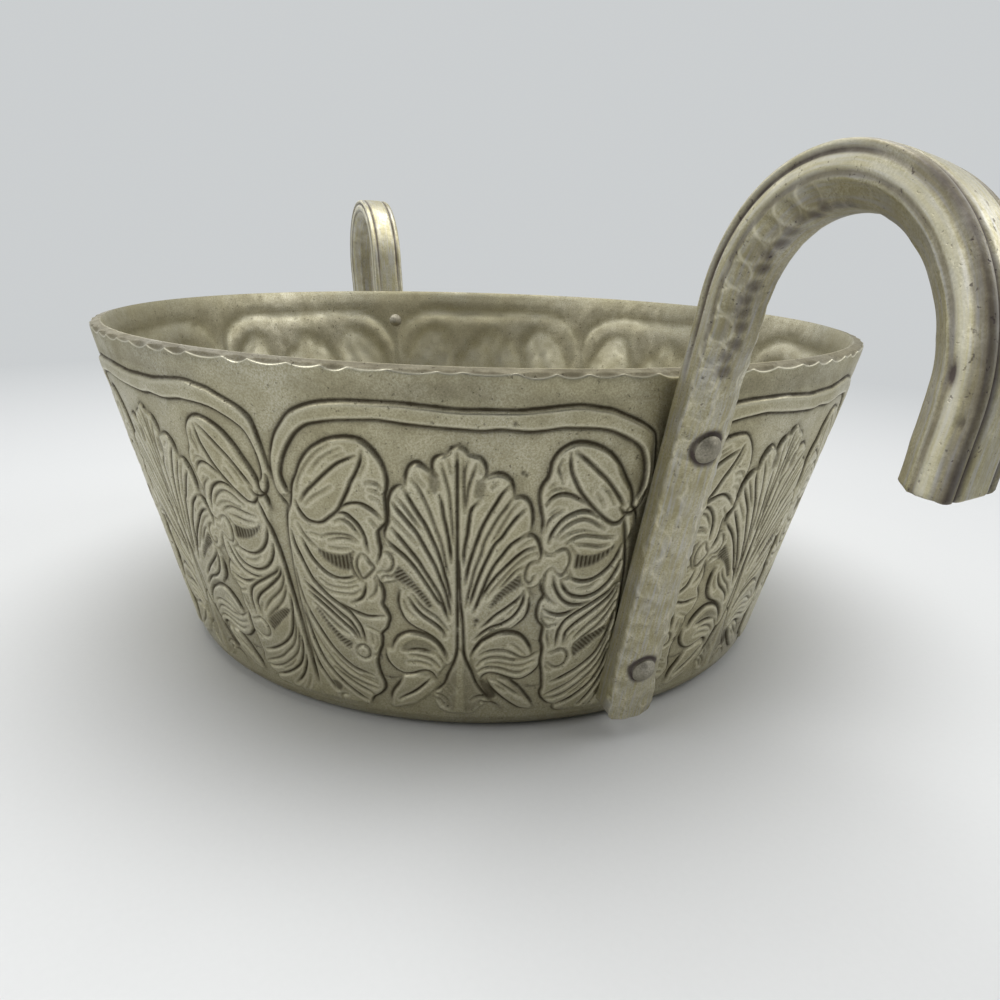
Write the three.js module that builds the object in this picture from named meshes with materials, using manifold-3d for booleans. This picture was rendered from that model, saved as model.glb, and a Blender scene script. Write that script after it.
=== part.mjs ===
import * as THREE from 'three';
import { mergeVertices } from 'three/addons/utils/BufferGeometryUtils.js';
import Module from 'manifold-3d';

// A round bowl of thick hammered sheet with a straight flaring wall, and two hooked strap handles.
// Each handle is one bar that runs up the outside of the wall, rises past the lip, turns outwards
// in a half round and ends free. Two rivets hold each handle to the wall.
// Millimetres, +Z up. The bowl stands on z = 0 with its axis on Z, and the right handle stands at +X.

// Bowl
const RIM_RADIUS = 117.5; // outer edge of the lip
const BOWL_HEIGHT = 95.5; // outer edge of the lip above the table
const FOOT_RADIUS = 94.2; // where the wall's outer face, carried straight down, meets the table
const SHEET_THICKNESS = 3.2;
const INNER_HIP_RADIUS = 2.8; // inside the turn from floor to wall

// Ornament: eight like panels round the wall, each with its two halves alike. A palmette on a stem stands
// over scrolls, between two tall leaves with buds on top, and a raised frame arches over them.
const PANELS = 8;
const FRONT_PANEL_TURN = THREE.MathUtils.degToRad(-24.4); // round the bowl from the right handle
const RELIEF_HEIGHT = 0.8; // crests of the ornament above the wall's outer face
const RELIEF_BOTTOM = 12; // lower edge of the ornament above the table
const RELIEF_SLOPE = 1.5; // run of the ornament's sloping upper and lower edges
const LEAF_TIP = 80; // top of buds and palmette, up the wall
const SCROLL_TIP = 29.5; // top of the scrolls, up the wall
const LOBES_FOOT = 33.5; // lower end of the palmette's side lobes, up the wall
const LOBES_TIP = 74; // their upper end
const LEAF_SHOULDER = 58.5; // up to here the leaf fills the panel to its border
const FRAME_SHOULDER = 66; // from here up, neighbouring frames share one side moulding on the border
const FRAME_CORNER = 84; // where a frame's side has turned in from the border
const FRAME_LOW = 86.2; // lower edge of the frame's arch
const FRAME_HIGH = 90.2; // its upper edge
const FRAME_REACH = { low: 35.5, high: 30 }; // half the length of the arch at its two edges

// Lines up a panel's right half, as up the wall and across from the centre line, as wide as halfway up.
const STEM_SIDE = [[13, 6.2], [19, 4.4], [25, 2.4], [46, 1.9], [64, 2.9], [76, 4.6], [84, 3]];
const SIDE_INNER = [[13, 8], [19, 6], [25, 3.8], [33.5, 3], [46, 3], [64, 4.4], [74, 6.6], [84, 7]];
const SIDE_OUTER = [[13, 18.2], [19, 19], [25, 18.4], [29.5, 15.6], [33.5, 13], [39, 14], [46, 9], [52, 11],
  [58.5, 16], [66, 14.6], [72, 11.6], [84, 9]];
const LEAF_VALLEY = [[13, 20], [19, 20.6], [25, 20.2], [29.5, 18], [33.5, 16.6], [39, 16.4], [46, 12.6],
  [52, 13], [58.5, 17.2], [66, 15.7], [72, 14.2], [80, 15.5], [84, 15]];
const LEAF_INNER = [[13, 21.6], [25, 21.8], [33.5, 19], [39, 18.4], [46, 15.6], [52, 14.9], [58.5, 18.4],
  [66, 16.8], [72, 16.4], [80, 19.4], [84, 21]];
const LEAF_MIDDLE = [[13, 28], [58.5, 26.5], [66, 26], [72, 25.4], [80, 24.2], [84, 26]];
const LEAF_OUTER = [[13, 34.6], [58.5, 34], [66, 35.6], [72, 33.8], [80, 28.6], [84, 31]];
const LEAF_EDGE = [[13, 40.8], [52, 40.6], [58.5, 39.8], [66, 38.2], [72, 37.6], [80, 35], [84, 36.8]];
const ROWS_UP = [19, 25, SCROLL_TIP, (SCROLL_TIP + LOBES_FOOT) / 2, LOBES_FOOT, 39, 46, 52, LEAF_SHOULDER, 62,
  FRAME_SHOULDER, 70, LOBES_TIP, 77, LEAF_TIP, FRAME_CORNER];

// Handle bar. Its back lies towards the wall, and its front towards the hand.
const BAR_WIDTH = 12.7;
const HOOK_DEPTH = 9.5; // back to front on the hook
const STRAP_DEPTH = 7.9; // back to front on the wall, where the bar is forged flatter
const FORGED_RUN = 18; // length over which the bar goes from one depth to the other
const SIDE_DEPTH = 5.6; // height of the bar's sides, in front of which its edges are bevelled
const BEVEL_WIDTH = 3.7; // of the hammered bevels along the front
const BAR_LEAN = THREE.MathUtils.degToRad(0.7); // how much more the bar leans out than the wall
const STRAP_BOTTOM = 7.5; // lower end of the bar's back above the table
const STRAP_CORNER_RADIUS = 3.5; // rounding of the lower end's corners
const HOOK_RADIUS = 24; // inside the half round
const HOOK_RISE = 7.1; // centre of the half round above the lip
const HOOK_TURN = THREE.MathUtils.degToRad(168.4);
const TAIL_LENGTH = 10.8; // straight free end after the half round
const SIDE_GROOVE_PLACE = 2.2; // middle of the groove along each side, from the back
const BACK_GROOVE_PLACE = 2.2; // middle of the groove along each edge of the back, from the side
const GROOVE_DEPTH = 0.4;
const GROOVE_WIDTH = 0.9;
const BACK_BEVEL = 0.6; // on the two long edges of the back
const BAR_STEPS = 56;
const LEFT_HANDLE_TURN = THREE.MathUtils.degToRad(178.2); // round the bowl from the right handle

// The two hooks are bent by hand and differ. twist turns a hook's section about its own line, in full
// from its top on, and skew is how far the end of its half round is drawn to one side.
const HOOKS = {
  right: { twist: THREE.MathUtils.degToRad(9.4), skew: 6.9 },
  left: { twist: THREE.MathUtils.degToRad(-1), skew: 3.4 },
};

// Rivets
const HEAD_RADIUS = 3.175;
const HEAD_RISE = 1.5;
const SHANK_RADIUS = 1.6;
const UPPER_RIVET_DROP = 15; // centre of the upper rivet's outer head below the lip
const LOWER_RIVET_HEIGHT = 21.3; // centre of the lower rivet's outer head above the table
const RIVET_SIDES = 20;
const HEAD_STEPS = 4;

// Clearances
const SEAT_GAP = 0.3; // from the ornament's crests to the bar, and from the rivet heads to their seats
const HOLE_GAP = 0.3; // round the shanks

// The bar's own frame has its origin where the bar's back comes closest to the ornament, at the lower
// end of the crests, its x square to the back and pointing outwards, and its z straight up the bar.
const WALL_LEAN = Math.atan2(RIM_RADIUS - FOOT_RADIUS, BOWL_HEIGHT);
const FULL_LEAN = WALL_LEAN + BAR_LEAN;
const BACK_GAP = RELIEF_HEIGHT + SEAT_GAP;
const SEAT_UP = RELIEF_BOTTOM / Math.cos(WALL_LEAN) + RELIEF_SLOPE;
const SEAT_HEIGHT = SEAT_UP * Math.cos(WALL_LEAN) - BACK_GAP * Math.sin(WALL_LEAN);

// Distance up the bar of a point that lies at a height above the table, out from the bar's back.
function upTheBar(height, out) {
  return (height - SEAT_HEIGHT + out * Math.sin(FULL_LEAN)) / Math.cos(FULL_LEAN);
}

// The bar's line runs at half the depth of its sides.
const LINE_OUT = SIDE_DEPTH / 2;
const HOOK_OUT = HOOK_DEPTH + HOOK_RADIUS;
const HOOK_UP = upTheBar(BOWL_HEIGHT + HOOK_RISE, HOOK_OUT);
const LINE_RADIUS = HOOK_OUT - LINE_OUT;
const STRAP_START = upTheBar(STRAP_BOTTOM, 0);
const STRAIGHT_LENGTH = HOOK_UP - STRAP_START;
const LINE_LENGTH = STRAIGHT_LENGTH + LINE_RADIUS * HOOK_TURN + TAIL_LENGTH;
const RIVETS = {
  upper: upTheBar(BOWL_HEIGHT - UPPER_RIVET_DROP, STRAP_DEPTH),
  lower: upTheBar(LOWER_RIVET_HEIGHT, STRAP_DEPTH),
};

// Where the wall's inner face lies, out from the bar's back, at a distance up the bar.
function innerFace(up) {
  return -(BACK_GAP + SHEET_THICKNESS) / Math.cos(BAR_LEAN) - up * Math.tan(BAR_LEAN);
}

const wasm = await Module();
wasm.setup();

// A closed geometry as a solid that can be cut. Triangles that close up on the axis are dropped.
function toSolid(geometry) {
  const bare = geometry.clone();
  bare.deleteAttribute('normal');
  bare.deleteAttribute('uv');
  const merged = mergeVertices(bare, 1e-4);
  const corners = merged.index.array;
  const kept = [];
  for (let i = 0; i < corners.length; i += 3) {
    const [a, b, c] = [corners[i], corners[i + 1], corners[i + 2]];
    if (a !== b && b !== c && c !== a) {
      kept.push(a, b, c);
    }
  }
  return new wasm.Manifold(new wasm.Mesh({
    numProp: 3,
    vertProperties: new Float32Array(merged.attributes.position.array),
    triVerts: new Uint32Array(kept),
  }));
}

function toGeometry(solid) {
  const mesh = solid.getMesh();
  const geometry = new THREE.BufferGeometry();
  geometry.setAttribute('position', new THREE.BufferAttribute(mesh.vertProperties, 3));
  geometry.setIndex(new THREE.BufferAttribute(mesh.triVerts, 1));
  geometry.computeVertexNormals();
  return geometry;
}

// Points on a round turn, as radius and height or as across and up.
function arc(centreX, centreY, radius, from, to, steps) {
  const points = [];
  for (let i = 0; i <= steps; i += 1) {
    const angle = from + ((to - from) * i) / steps;
    points.push(new THREE.Vector2(centreX + radius * Math.cos(angle), centreY + radius * Math.sin(angle)));
  }
  return points;
}

// A profile turned round +Z.
function turned(profile, sides) {
  return new THREE.LatheGeometry(profile, sides).rotateX(Math.PI / 2);
}

// The bar's frame on one side of the bowl, turned round the bowl from +X.
function barFrame(side) {
  const frame = new THREE.Matrix4().makeRotationZ(side);
  frame.multiply(new THREE.Matrix4().makeTranslation(FOOT_RADIUS, 0, 0));
  frame.multiply(new THREE.Matrix4().makeRotationY(WALL_LEAN));
  frame.multiply(new THREE.Matrix4().makeTranslation(BACK_GAP, 0, SEAT_UP));
  return frame.multiply(new THREE.Matrix4().makeRotationY(BAR_LEAN));
}

// A round hole through wall and bar at one rivet, in the bar's frame.
function rivetHole(up) {
  const length = 2 * (STRAP_DEPTH - innerFace(up));
  return new THREE.CylinderGeometry(SHANK_RADIUS + HOLE_GAP, SHANK_RADIUS + HOLE_GAP, length, RIVET_SIDES)
    .rotateZ(Math.PI / 2)
    .translate(0, 0, up);
}

// Across at a height up the wall, on a line of points.
function acrossAt(line, up) {
  const next = line.findIndex(([place]) => place > up);
  if (next < 0) {
    return line[line.length - 1][1];
  }
  const [from, low] = line[Math.max(next - 1, 0)];
  const [to, high] = line[next];
  return low + ((high - low) * Math.max(up - from, 0)) / (to - from);
}

const PANEL_HALF = (Math.PI / PANELS) * ((RIM_RADIUS + FOOT_RADIUS) / 2); // across, halfway up
const LEAF_RANGE = [SEAT_UP, LEAF_TIP];
const SIDE_RANGES = [[SEAT_UP, SCROLL_TIP], [LOBES_FOOT, LOBES_TIP]];
const LINES = [
  { line: [[0, 0]], raised: [LEAF_RANGE] },
  { line: STEM_SIDE, raised: [] },
  { line: SIDE_INNER, raised: SIDE_RANGES },
  { line: SIDE_OUTER, raised: SIDE_RANGES },
  { line: LEAF_VALLEY, raised: [] },
  { line: LEAF_INNER, raised: [LEAF_RANGE] },
  { line: LEAF_MIDDLE, raised: [LEAF_RANGE] },
  { line: LEAF_OUTER, raised: [LEAF_RANGE] },
  { line: LEAF_EDGE, raised: [[SEAT_UP, LEAF_SHOULDER], [FRAME_CORNER, FRAME_CORNER]] },
  { line: [[0, PANEL_HALF]], raised: [[FRAME_SHOULDER, LEAF_TIP]] },
];

// Where the lines cross one row of the ornament, as up, across and out, from the centre line to the border.
function halfRow(up) {
  return LINES.map(({ line, raised }) => {
    const crest = raised.some(([from, to]) => up >= from && up <= to);
    return [up, acrossAt(line, up), crest ? RELIEF_HEIGHT : 0];
  });
}

// An edge of the frame's arch, which is raised as far as it reaches.
function archRow(up, reach) {
  const last = LINES.length - 1;
  return LINES.map((_, i) => (i < last ? [up, (reach * i) / (last - 1), RELIEF_HEIGHT] : [up, PANEL_HALF, 0]));
}

// A level row on the plain wall or anywhere inside, evenly spaced.
function plainRow(up, out) {
  return LINES.map((_, i) => [up, (PANEL_HALF * i) / (LINES.length - 1), out]);
}

// A row of the whole bowl, from its profile point for each place of half a panel's row.
function ringOf(row, toProfile) {
  const panel = [...row.slice(1).reverse().map(([up, across, out]) => [up, -across, out]), ...row.slice(0, -1)];
  const ring = [];
  for (let i = 0; i < PANELS; i += 1) {
    for (const [up, across, out] of panel) {
      const angle = FRONT_PANEL_TURN + ((2 * i + across / PANEL_HALF) * Math.PI) / PANELS;
      const { x: radius, y: height } = toProfile(up, out);
      ring.push([radius * Math.cos(angle), radius * Math.sin(angle), height]);
    }
  }
  return ring;
}

// Radius and height of a point up the wall and out from its outer face.
function onWall(up, out) {
  return new THREE.Vector2(
    FOOT_RADIUS + up * Math.sin(WALL_LEAN) + out * Math.cos(WALL_LEAN),
    up * Math.cos(WALL_LEAN) - out * Math.sin(WALL_LEAN),
  );
}

// The bowl's rows from the middle of its underside round the outside and over the lip to the middle of the
// floor: floor, rounded hip, wall with the ornament, and a lip cut square to the wall.
function bowlRows() {
  const hipRadius = INNER_HIP_RADIUS + SHEET_THICKNESS;
  const hipCentre = FOOT_RADIUS + (hipRadius * (Math.sin(WALL_LEAN) - 1)) / Math.cos(WALL_LEAN);
  const lip = BOWL_HEIGHT / Math.cos(WALL_LEAN);
  const down = -Math.PI / 2;
  const outerHip = arc(hipCentre, hipRadius, hipRadius, down, -WALL_LEAN, 5);
  const innerHip = arc(hipCentre, hipRadius, INNER_HIP_RADIUS, -WALL_LEAN, down, 3);
  const turnedRow = (point) => ringOf(plainRow(0, 0), () => point);
  return [
    ...outerHip.map(turnedRow),
    ringOf(plainRow(SEAT_UP - RELIEF_SLOPE, 0), onWall),
    ...[SEAT_UP, ...ROWS_UP].map((up) => ringOf(halfRow(up), onWall)),
    ringOf(archRow(FRAME_LOW, FRAME_REACH.low), onWall),
    ringOf(archRow(FRAME_HIGH, FRAME_REACH.high), onWall),
    ringOf(plainRow(FRAME_HIGH + RELIEF_SLOPE, 0), onWall),
    ringOf(plainRow(lip, 0), onWall),
    ringOf(plainRow(lip, -SHEET_THICKNESS), onWall),
    ...innerHip.map(turnedRow),
  ];
}

// A closed solid from rings of points, filled to a point on the axis at both ends.
function ringSolid(rings, lowEnd, highEnd) {
  const count = rings[0].length;
  const corners = [];
  rings.slice(1).forEach((_, i) => {
    for (let k = 0; k < count; k += 1) {
      const [a, b] = [i * count + k, i * count + ((k + 1) % count)];
      corners.push(a, b, b + count, a, b + count, a + count);
    }
  });
  const first = rings.length * count;
  const top = (rings.length - 1) * count;
  for (let k = 0; k < count; k += 1) {
    const next = (k + 1) % count;
    corners.push(first, next, k, first + 1, top + k, top + next);
  }
  return new wasm.Manifold(new wasm.Mesh({
    numProp: 3,
    vertProperties: new Float32Array([...rings.flat(2), 0, 0, lowEnd, 0, 0, highEnd]),
    triVerts: new Uint32Array(corners),
  }));
}

function bowlGeometry() {
  let solid = ringSolid(bowlRows(), 0, SHEET_THICKNESS);
  for (const side of [0, LEFT_HANDLE_TURN]) {
    for (const up of Object.values(RIVETS)) {
      solid = solid.subtract(toSolid(rivetHole(up).applyMatrix4(barFrame(side))));
    }
  }
  return toGeometry(solid);
}

// Section of the bar as across and out from the back: a groove along each edge of the back and along
// each side, and a bevel on each front edge.
function barSection() {
  const half = BAR_WIDTH / 2;
  const edge = [
    [half - BACK_GROOVE_PLACE - GROOVE_WIDTH / 2, 0],
    [half - BACK_GROOVE_PLACE, GROOVE_DEPTH],
    [half - BACK_GROOVE_PLACE + GROOVE_WIDTH / 2, 0],
    [half - BACK_BEVEL, 0],
    [half, BACK_BEVEL],
    [half, SIDE_GROOVE_PLACE - GROOVE_WIDTH / 2],
    [half - GROOVE_DEPTH, SIDE_GROOVE_PLACE],
    [half, SIDE_GROOVE_PLACE + GROOVE_WIDTH / 2],
    [half, SIDE_DEPTH],
    [half - BEVEL_WIDTH, HOOK_DEPTH],
  ];
  const otherEdge = edge.map(([across, out]) => [-across, out]).reverse();
  return new THREE.Shape([...edge, ...otherEdge].map(([across, out]) => new THREE.Vector2(across, out)));
}

// Takes a point of the straight bar, by its place across, out from the back and along, to its place on
// the bent bar: straight up the wall, round the hook, then down the free tail.
function bent(across, out, along, hook) {
  const past = along - STRAIGHT_LENGTH;
  const angle = THREE.MathUtils.clamp(past / LINE_RADIUS, 0, HOOK_TURN);
  const straight = past - angle * LINE_RADIUS;
  const forged = THREE.MathUtils.smoothstep(along, STRAIGHT_LENGTH - FORGED_RUN, STRAIGHT_LENGTH);
  const frontDepth = THREE.MathUtils.lerp(STRAP_DEPTH, HOOK_DEPTH, forged) - SIDE_DEPTH;
  const inFront = Math.max(out - SIDE_DEPTH, 0) / (HOOK_DEPTH - SIDE_DEPTH);
  const depth = Math.min(out, SIDE_DEPTH) + inFront * frontDepth - LINE_OUT;
  const twist = hook.twist * Math.sin(Math.min(angle, Math.PI / 2));
  const share = angle / HOOK_TURN;
  const sideways = hook.skew * share * (share + (2 * Math.max(straight, 0)) / (LINE_RADIUS * HOOK_TURN));
  const inwards = new THREE.Vector3(Math.cos(angle), 0, -Math.sin(angle));
  const onwards = new THREE.Vector3(Math.sin(angle), 0, Math.cos(angle));
  const sidewards = new THREE.Vector3(0, 1, 0);
  return new THREE.Vector3(HOOK_OUT, -sideways, HOOK_UP)
    .addScaledVector(inwards, -LINE_RADIUS + depth * Math.cos(twist) + across * Math.sin(twist))
    .addScaledVector(sidewards, across * Math.cos(twist) - depth * Math.sin(twist))
    .addScaledVector(onwards, straight);
}

// What is filed off one corner of the bar's lower end, in the bar's frame. hand is 1 or -1.
function cornerOffcut(hand) {
  const radius = STRAP_CORNER_RADIUS;
  const inner = BAR_WIDTH / 2 - radius;
  const past = BAR_WIDTH / 2 + radius;
  const outline = [
    ...arc(inner, STRAP_START + radius, radius, -Math.PI / 2, 0, 5),
    new THREE.Vector2(past, STRAP_START + radius),
    new THREE.Vector2(past, STRAP_START - radius),
    new THREE.Vector2(inner, STRAP_START - radius),
  ];
  const shape = new THREE.Shape(outline.map(({ x, y }) => new THREE.Vector2(hand * x, y)));
  const axes = new THREE.Matrix4().makeBasis(
    new THREE.Vector3(0, 1, 0),
    new THREE.Vector3(0, 0, 1),
    new THREE.Vector3(1, 0, 0),
  );
  return new THREE.ExtrudeGeometry(shape, { depth: 3 * HOOK_DEPTH, bevelEnabled: false })
    .applyMatrix4(axes)
    .translate(-HOOK_DEPTH, 0, 0);
}

function handleGeometry(hook) {
  const bar = new THREE.ExtrudeGeometry(barSection(), {
    depth: LINE_LENGTH,
    steps: BAR_STEPS,
    bevelEnabled: false,
  });
  const places = bar.attributes.position;
  for (let i = 0; i < places.count; i += 1) {
    const place = bent(-places.getX(i), places.getY(i), places.getZ(i), hook);
    places.setXYZ(i, place.x, place.y, place.z);
  }
  let solid = toSolid(bar);
  for (const hand of [1, -1]) {
    solid = solid.subtract(toSolid(cornerOffcut(hand)));
  }
  for (const up of Object.values(RIVETS)) {
    solid = solid.subtract(toSolid(rivetHole(up)));
  }
  return toGeometry(solid);
}

// Rivet with a domed head at each end, its axis square to the bar. The outer head sits on the bar's
// front and the inner one on the wall's inner face.
function rivetGeometry(up) {
  const dome = (HEAD_RISE ** 2 + HEAD_RADIUS ** 2) / (2 * HEAD_RISE);
  const spread = Math.asin(HEAD_RADIUS / dome);
  const quarter = Math.PI / 2;
  const inner = innerFace(up) - SEAT_GAP;
  const outer = STRAP_DEPTH + SEAT_GAP;
  const profile = [
    ...arc(0, inner - HEAD_RISE + dome, dome, -quarter, -quarter + spread, HEAD_STEPS),
    new THREE.Vector2(SHANK_RADIUS, inner),
    new THREE.Vector2(SHANK_RADIUS, outer),
    ...arc(0, outer + HEAD_RISE - dome, dome, quarter - spread, quarter, HEAD_STEPS),
  ];
  profile[0].x = 0;
  profile[profile.length - 1].x = 0;
  return toGeometry(toSolid(turned(profile, RIVET_SIDES).rotateY(quarter)));
}

// Aged aluminium, warm grey, duller on the handles.
const bowlMetal = new THREE.MeshStandardMaterial({ color: 0xb3ae9f, roughness: 0.42, metalness: 0.9 });
const handleMetal = new THREE.MeshStandardMaterial({ color: 0xaca590, roughness: 0.45, metalness: 0.9 });
const rivetMetal = new THREE.MeshStandardMaterial({ color: 0x9c9583, roughness: 0.5, metalness: 0.9 });

function named(name, geometry, material) {
  const mesh = new THREE.Mesh(geometry, material);
  mesh.name = name;
  return mesh;
}

// One handle with its two rivets, in the bar's frame on its side of the bowl.
function handleWithRivets(sideName, side) {
  const group = new THREE.Group();
  group.applyMatrix4(barFrame(side));
  group.add(named(`${sideName}_handle`, handleGeometry(HOOKS[sideName]), handleMetal));
  for (const [place, up] of Object.entries(RIVETS)) {
    const rivet = named(`${sideName}_${place}_rivet`, rivetGeometry(up), rivetMetal);
    rivet.position.z = up;
    group.add(rivet);
  }
  return group;
}

const part = new THREE.Group();
part.add(named('bowl', bowlGeometry(), bowlMetal));
part.add(handleWithRivets('right', 0));
part.add(handleWithRivets('left', LEFT_HANDLE_TURN));

export default part;
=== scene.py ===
import math
from collections import namedtuple

import bpy
import numpy as np
from mathutils import Matrix, Vector


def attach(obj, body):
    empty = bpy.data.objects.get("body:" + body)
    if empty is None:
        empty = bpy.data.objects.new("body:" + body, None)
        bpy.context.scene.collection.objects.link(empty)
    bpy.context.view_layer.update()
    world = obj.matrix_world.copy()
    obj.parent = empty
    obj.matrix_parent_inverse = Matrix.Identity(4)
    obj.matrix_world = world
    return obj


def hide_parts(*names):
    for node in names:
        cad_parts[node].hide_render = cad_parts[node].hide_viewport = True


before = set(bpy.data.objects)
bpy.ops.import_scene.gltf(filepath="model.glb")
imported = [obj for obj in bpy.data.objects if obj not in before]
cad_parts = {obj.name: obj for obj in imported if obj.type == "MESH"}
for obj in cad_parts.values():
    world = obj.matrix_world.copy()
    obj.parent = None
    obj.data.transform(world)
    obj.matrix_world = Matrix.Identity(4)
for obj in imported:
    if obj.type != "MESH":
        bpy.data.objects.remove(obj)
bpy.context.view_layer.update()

# Table and light
# The bowl stands on a pale matt table top that runs on into a pale backdrop. Broad soft lamps stand
# above and to the sides, and the eye is a little above the rim, close to one handle. A dark screen
# beside the eye shows in the metal's mirror images alone.

EYE = Vector((0.25845, -0.10695, 0.12105))
EYE_LOOKS_TOWARDS = math.radians(155.88)
EYE_LOOKS_DOWN = math.radians(17.61)
EYE_ROLL = 0.0322
LENS_MM = 29.79
BACKDROP_COLOUR = (0.60, 0.62, 0.63, 1.0)
TABLE_COLOUR = (0.73, 0.74, 0.74, 1.0)
TABLE_RADIUS = 2.5
# How far from the bowl's axis the table top starts to fade into the backdrop, and where it is gone.
TABLE_CLEAR = 0.20
TABLE_FADED = 0.62
ROOM_COLOUR = (0.78, 0.79, 0.80, 1.0)
ROOM_STRENGTH = 0.20
SCREEN_COLOUR = (0.05, 0.05, 0.055, 1.0)
SCREEN_FOOT = [(0.53, -0.58), (0.82, 0.12), (0.80, 0.52)]
SCREEN_HEIGHT = 0.72
LAMPS_AIM_AT = Vector((0.0, 0.0, 0.05))


class Reading:
    """A value that varies over a surface or a mesh. Arithmetic on it adds Math nodes to its tree."""

    def __init__(self, nodes, socket):
        self.nodes = nodes
        self.socket = socket

    def _with(self, operation, first, second):
        return self.nodes.node("ShaderNodeMath", {"operation": operation}, {0: first, 1: second})

    def __add__(self, other):
        return self._with("ADD", self, other)

    __radd__ = __add__

    def __sub__(self, other):
        return self._with("SUBTRACT", self, other)

    def __rsub__(self, other):
        return self._with("SUBTRACT", other, self)

    def __mul__(self, other):
        return self._with("MULTIPLY", self, other)

    __rmul__ = __mul__

    def __truediv__(self, other):
        return self._with("DIVIDE", self, other)

    def __pow__(self, other):
        return self._with("POWER", self, other)

    def __gt__(self, other):
        return self._with("GREATER_THAN", self, other)

    def __abs__(self):
        return self.nodes.node("ShaderNodeMath", {"operation": "ABSOLUTE"}, {0: self})

    def at_least(self, other):
        return self._with("MAXIMUM", self, other)

    def at_most(self, other):
        return self._with("MINIMUM", self, other)


class Nodes:
    """A node tree, and the few ways in which this bowl's finishes and shapes build one."""

    def __init__(self, tree):
        self.tree = tree

    def node(self, kind, settings=None, inputs=None, output=0):
        """Adds a node with its settings and inputs, and returns one of its outputs."""
        made = self.tree.nodes.new(kind)
        for name, value in (settings or {}).items():
            setattr(made, name, value)
        for name, value in (inputs or {}).items():
            self.feed(made.inputs[name], value)
        return Reading(self, made.outputs[output]) if len(made.outputs) else None

    def feed(self, socket, value):
        if isinstance(value, Reading):
            self.tree.links.new(value.socket, socket)
        else:
            socket.default_value = value

    def vector(self, x=0.0, y=0.0, z=0.0):
        return self.node("ShaderNodeCombineXYZ", {}, {0: x, 1: y, 2: z})

    def parts(self, vector):
        """The three numbers of a vector."""
        apart = self.node("ShaderNodeSeparateXYZ", {}, {0: vector}).socket.node
        return [Reading(self, socket) for socket in apart.outputs]

    def mixed(self, amount, low, high):
        """A colour between two colours."""
        colours = {"data_type": "RGBA"}
        return self.node("ShaderNodeMix", colours, {0: amount, 6: low, 7: high}, 2)

    def spread(self, value, low, high, to_low=0.0, to_high=1.0):
        """Takes low..high to to_low..to_high and holds it there."""
        ends = {1: low, 2: high, 3: to_low, 4: to_high}
        return self.node("ShaderNodeMapRange", {"clamp": True}, {0: value, **ends})

    def place(self):
        return self.node("ShaderNodeTexCoord", output="Object")

    def noise(self, grain, detail=2.0, roughness=0.5, place=None):
        """Soft noise from 0 to 1 with spots about one grain across, in metres."""
        look = {"Scale": 1.0 / grain, "Detail": detail, "Roughness": roughness}
        return self.node("ShaderNodeTexNoise", {}, {"Vector": place or self.place(), **look})

    def recorded(self, name):
        """A number kept for each point of the mesh."""
        return self.node("ShaderNodeAttribute", {"attribute_name": name}, {}, "Fac")


def new_finish(name):
    material = bpy.data.materials.new(name)
    material.use_nodes = True
    shader = material.node_tree.nodes["Principled BSDF"]
    return material, Nodes(material.node_tree), shader


def seen_directly(finish):
    """1 where the eye, a mirror or a glass sees the surface, 0 where light is bounced off it."""
    path = finish.node("ShaderNodeLightPath").socket.node
    seen = Reading(finish, path.outputs["Is Camera Ray"])
    for ray in ("Is Glossy Ray", "Is Transmission Ray"):
        seen = seen.at_least(Reading(finish, path.outputs[ray]))
    return seen


def table_finish():
    material, finish, shader = new_finish("pale_table")
    shader.inputs["Roughness"].default_value = 0.75
    shader.inputs["Specular IOR Level"].default_value = 0.2
    mottling = finish.noise(0.0015, 3.0)
    pale = [channel * 0.97 for channel in TABLE_COLOUR[:3]] + [1.0]
    finish.feed(shader.inputs["Base Color"], finish.mixed(mottling, pale, TABLE_COLOUR))
    distance = finish.node("ShaderNodeVectorMath", {"operation": "LENGTH"}, {0: finish.place()}, 1)
    far = finish.spread(distance, TABLE_CLEAR, TABLE_FADED) * seen_directly(finish)
    glow = finish.node("ShaderNodeEmission", {}, {"Color": BACKDROP_COLOUR, "Strength": 1.0})
    surface = Reading(finish, shader.outputs["BSDF"])
    mixed = finish.node("ShaderNodeMixShader", {}, {0: far, 1: surface, 2: glow})
    finish.feed(material.node_tree.nodes["Material Output"].inputs["Surface"], mixed)
    return material


def add_table():
    sides = 128
    ring = [(TABLE_RADIUS * math.cos(a), TABLE_RADIUS * math.sin(a), 0.0)
            for a in np.arange(sides) * 2 * math.pi / sides]
    mesh = bpy.data.meshes.new("table_top")
    mesh.from_pydata(ring, [], [list(range(sides))])
    mesh.materials.append(table_finish())
    table = bpy.data.objects.new("table_top", mesh)
    bpy.context.scene.collection.objects.link(table)


def light_the_room():
    world = bpy.data.worlds.new("pale_room")
    world.use_nodes = True
    bpy.context.scene.world = world
    finish = Nodes(world.node_tree)
    for old in list(world.node_tree.nodes):
        world.node_tree.nodes.remove(old)
    soft = finish.node("ShaderNodeBackground", {}, {"Color": ROOM_COLOUR, "Strength": ROOM_STRENGTH})
    shown = finish.node("ShaderNodeBackground", {}, {"Color": BACKDROP_COLOUR, "Strength": 1.0})
    sky = finish.node("ShaderNodeMixShader", {}, {0: seen_directly(finish), 1: soft, 2: shown})
    out = world.node_tree.nodes.new("ShaderNodeOutputWorld")
    finish.feed(out.inputs["Surface"], sky)


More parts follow.
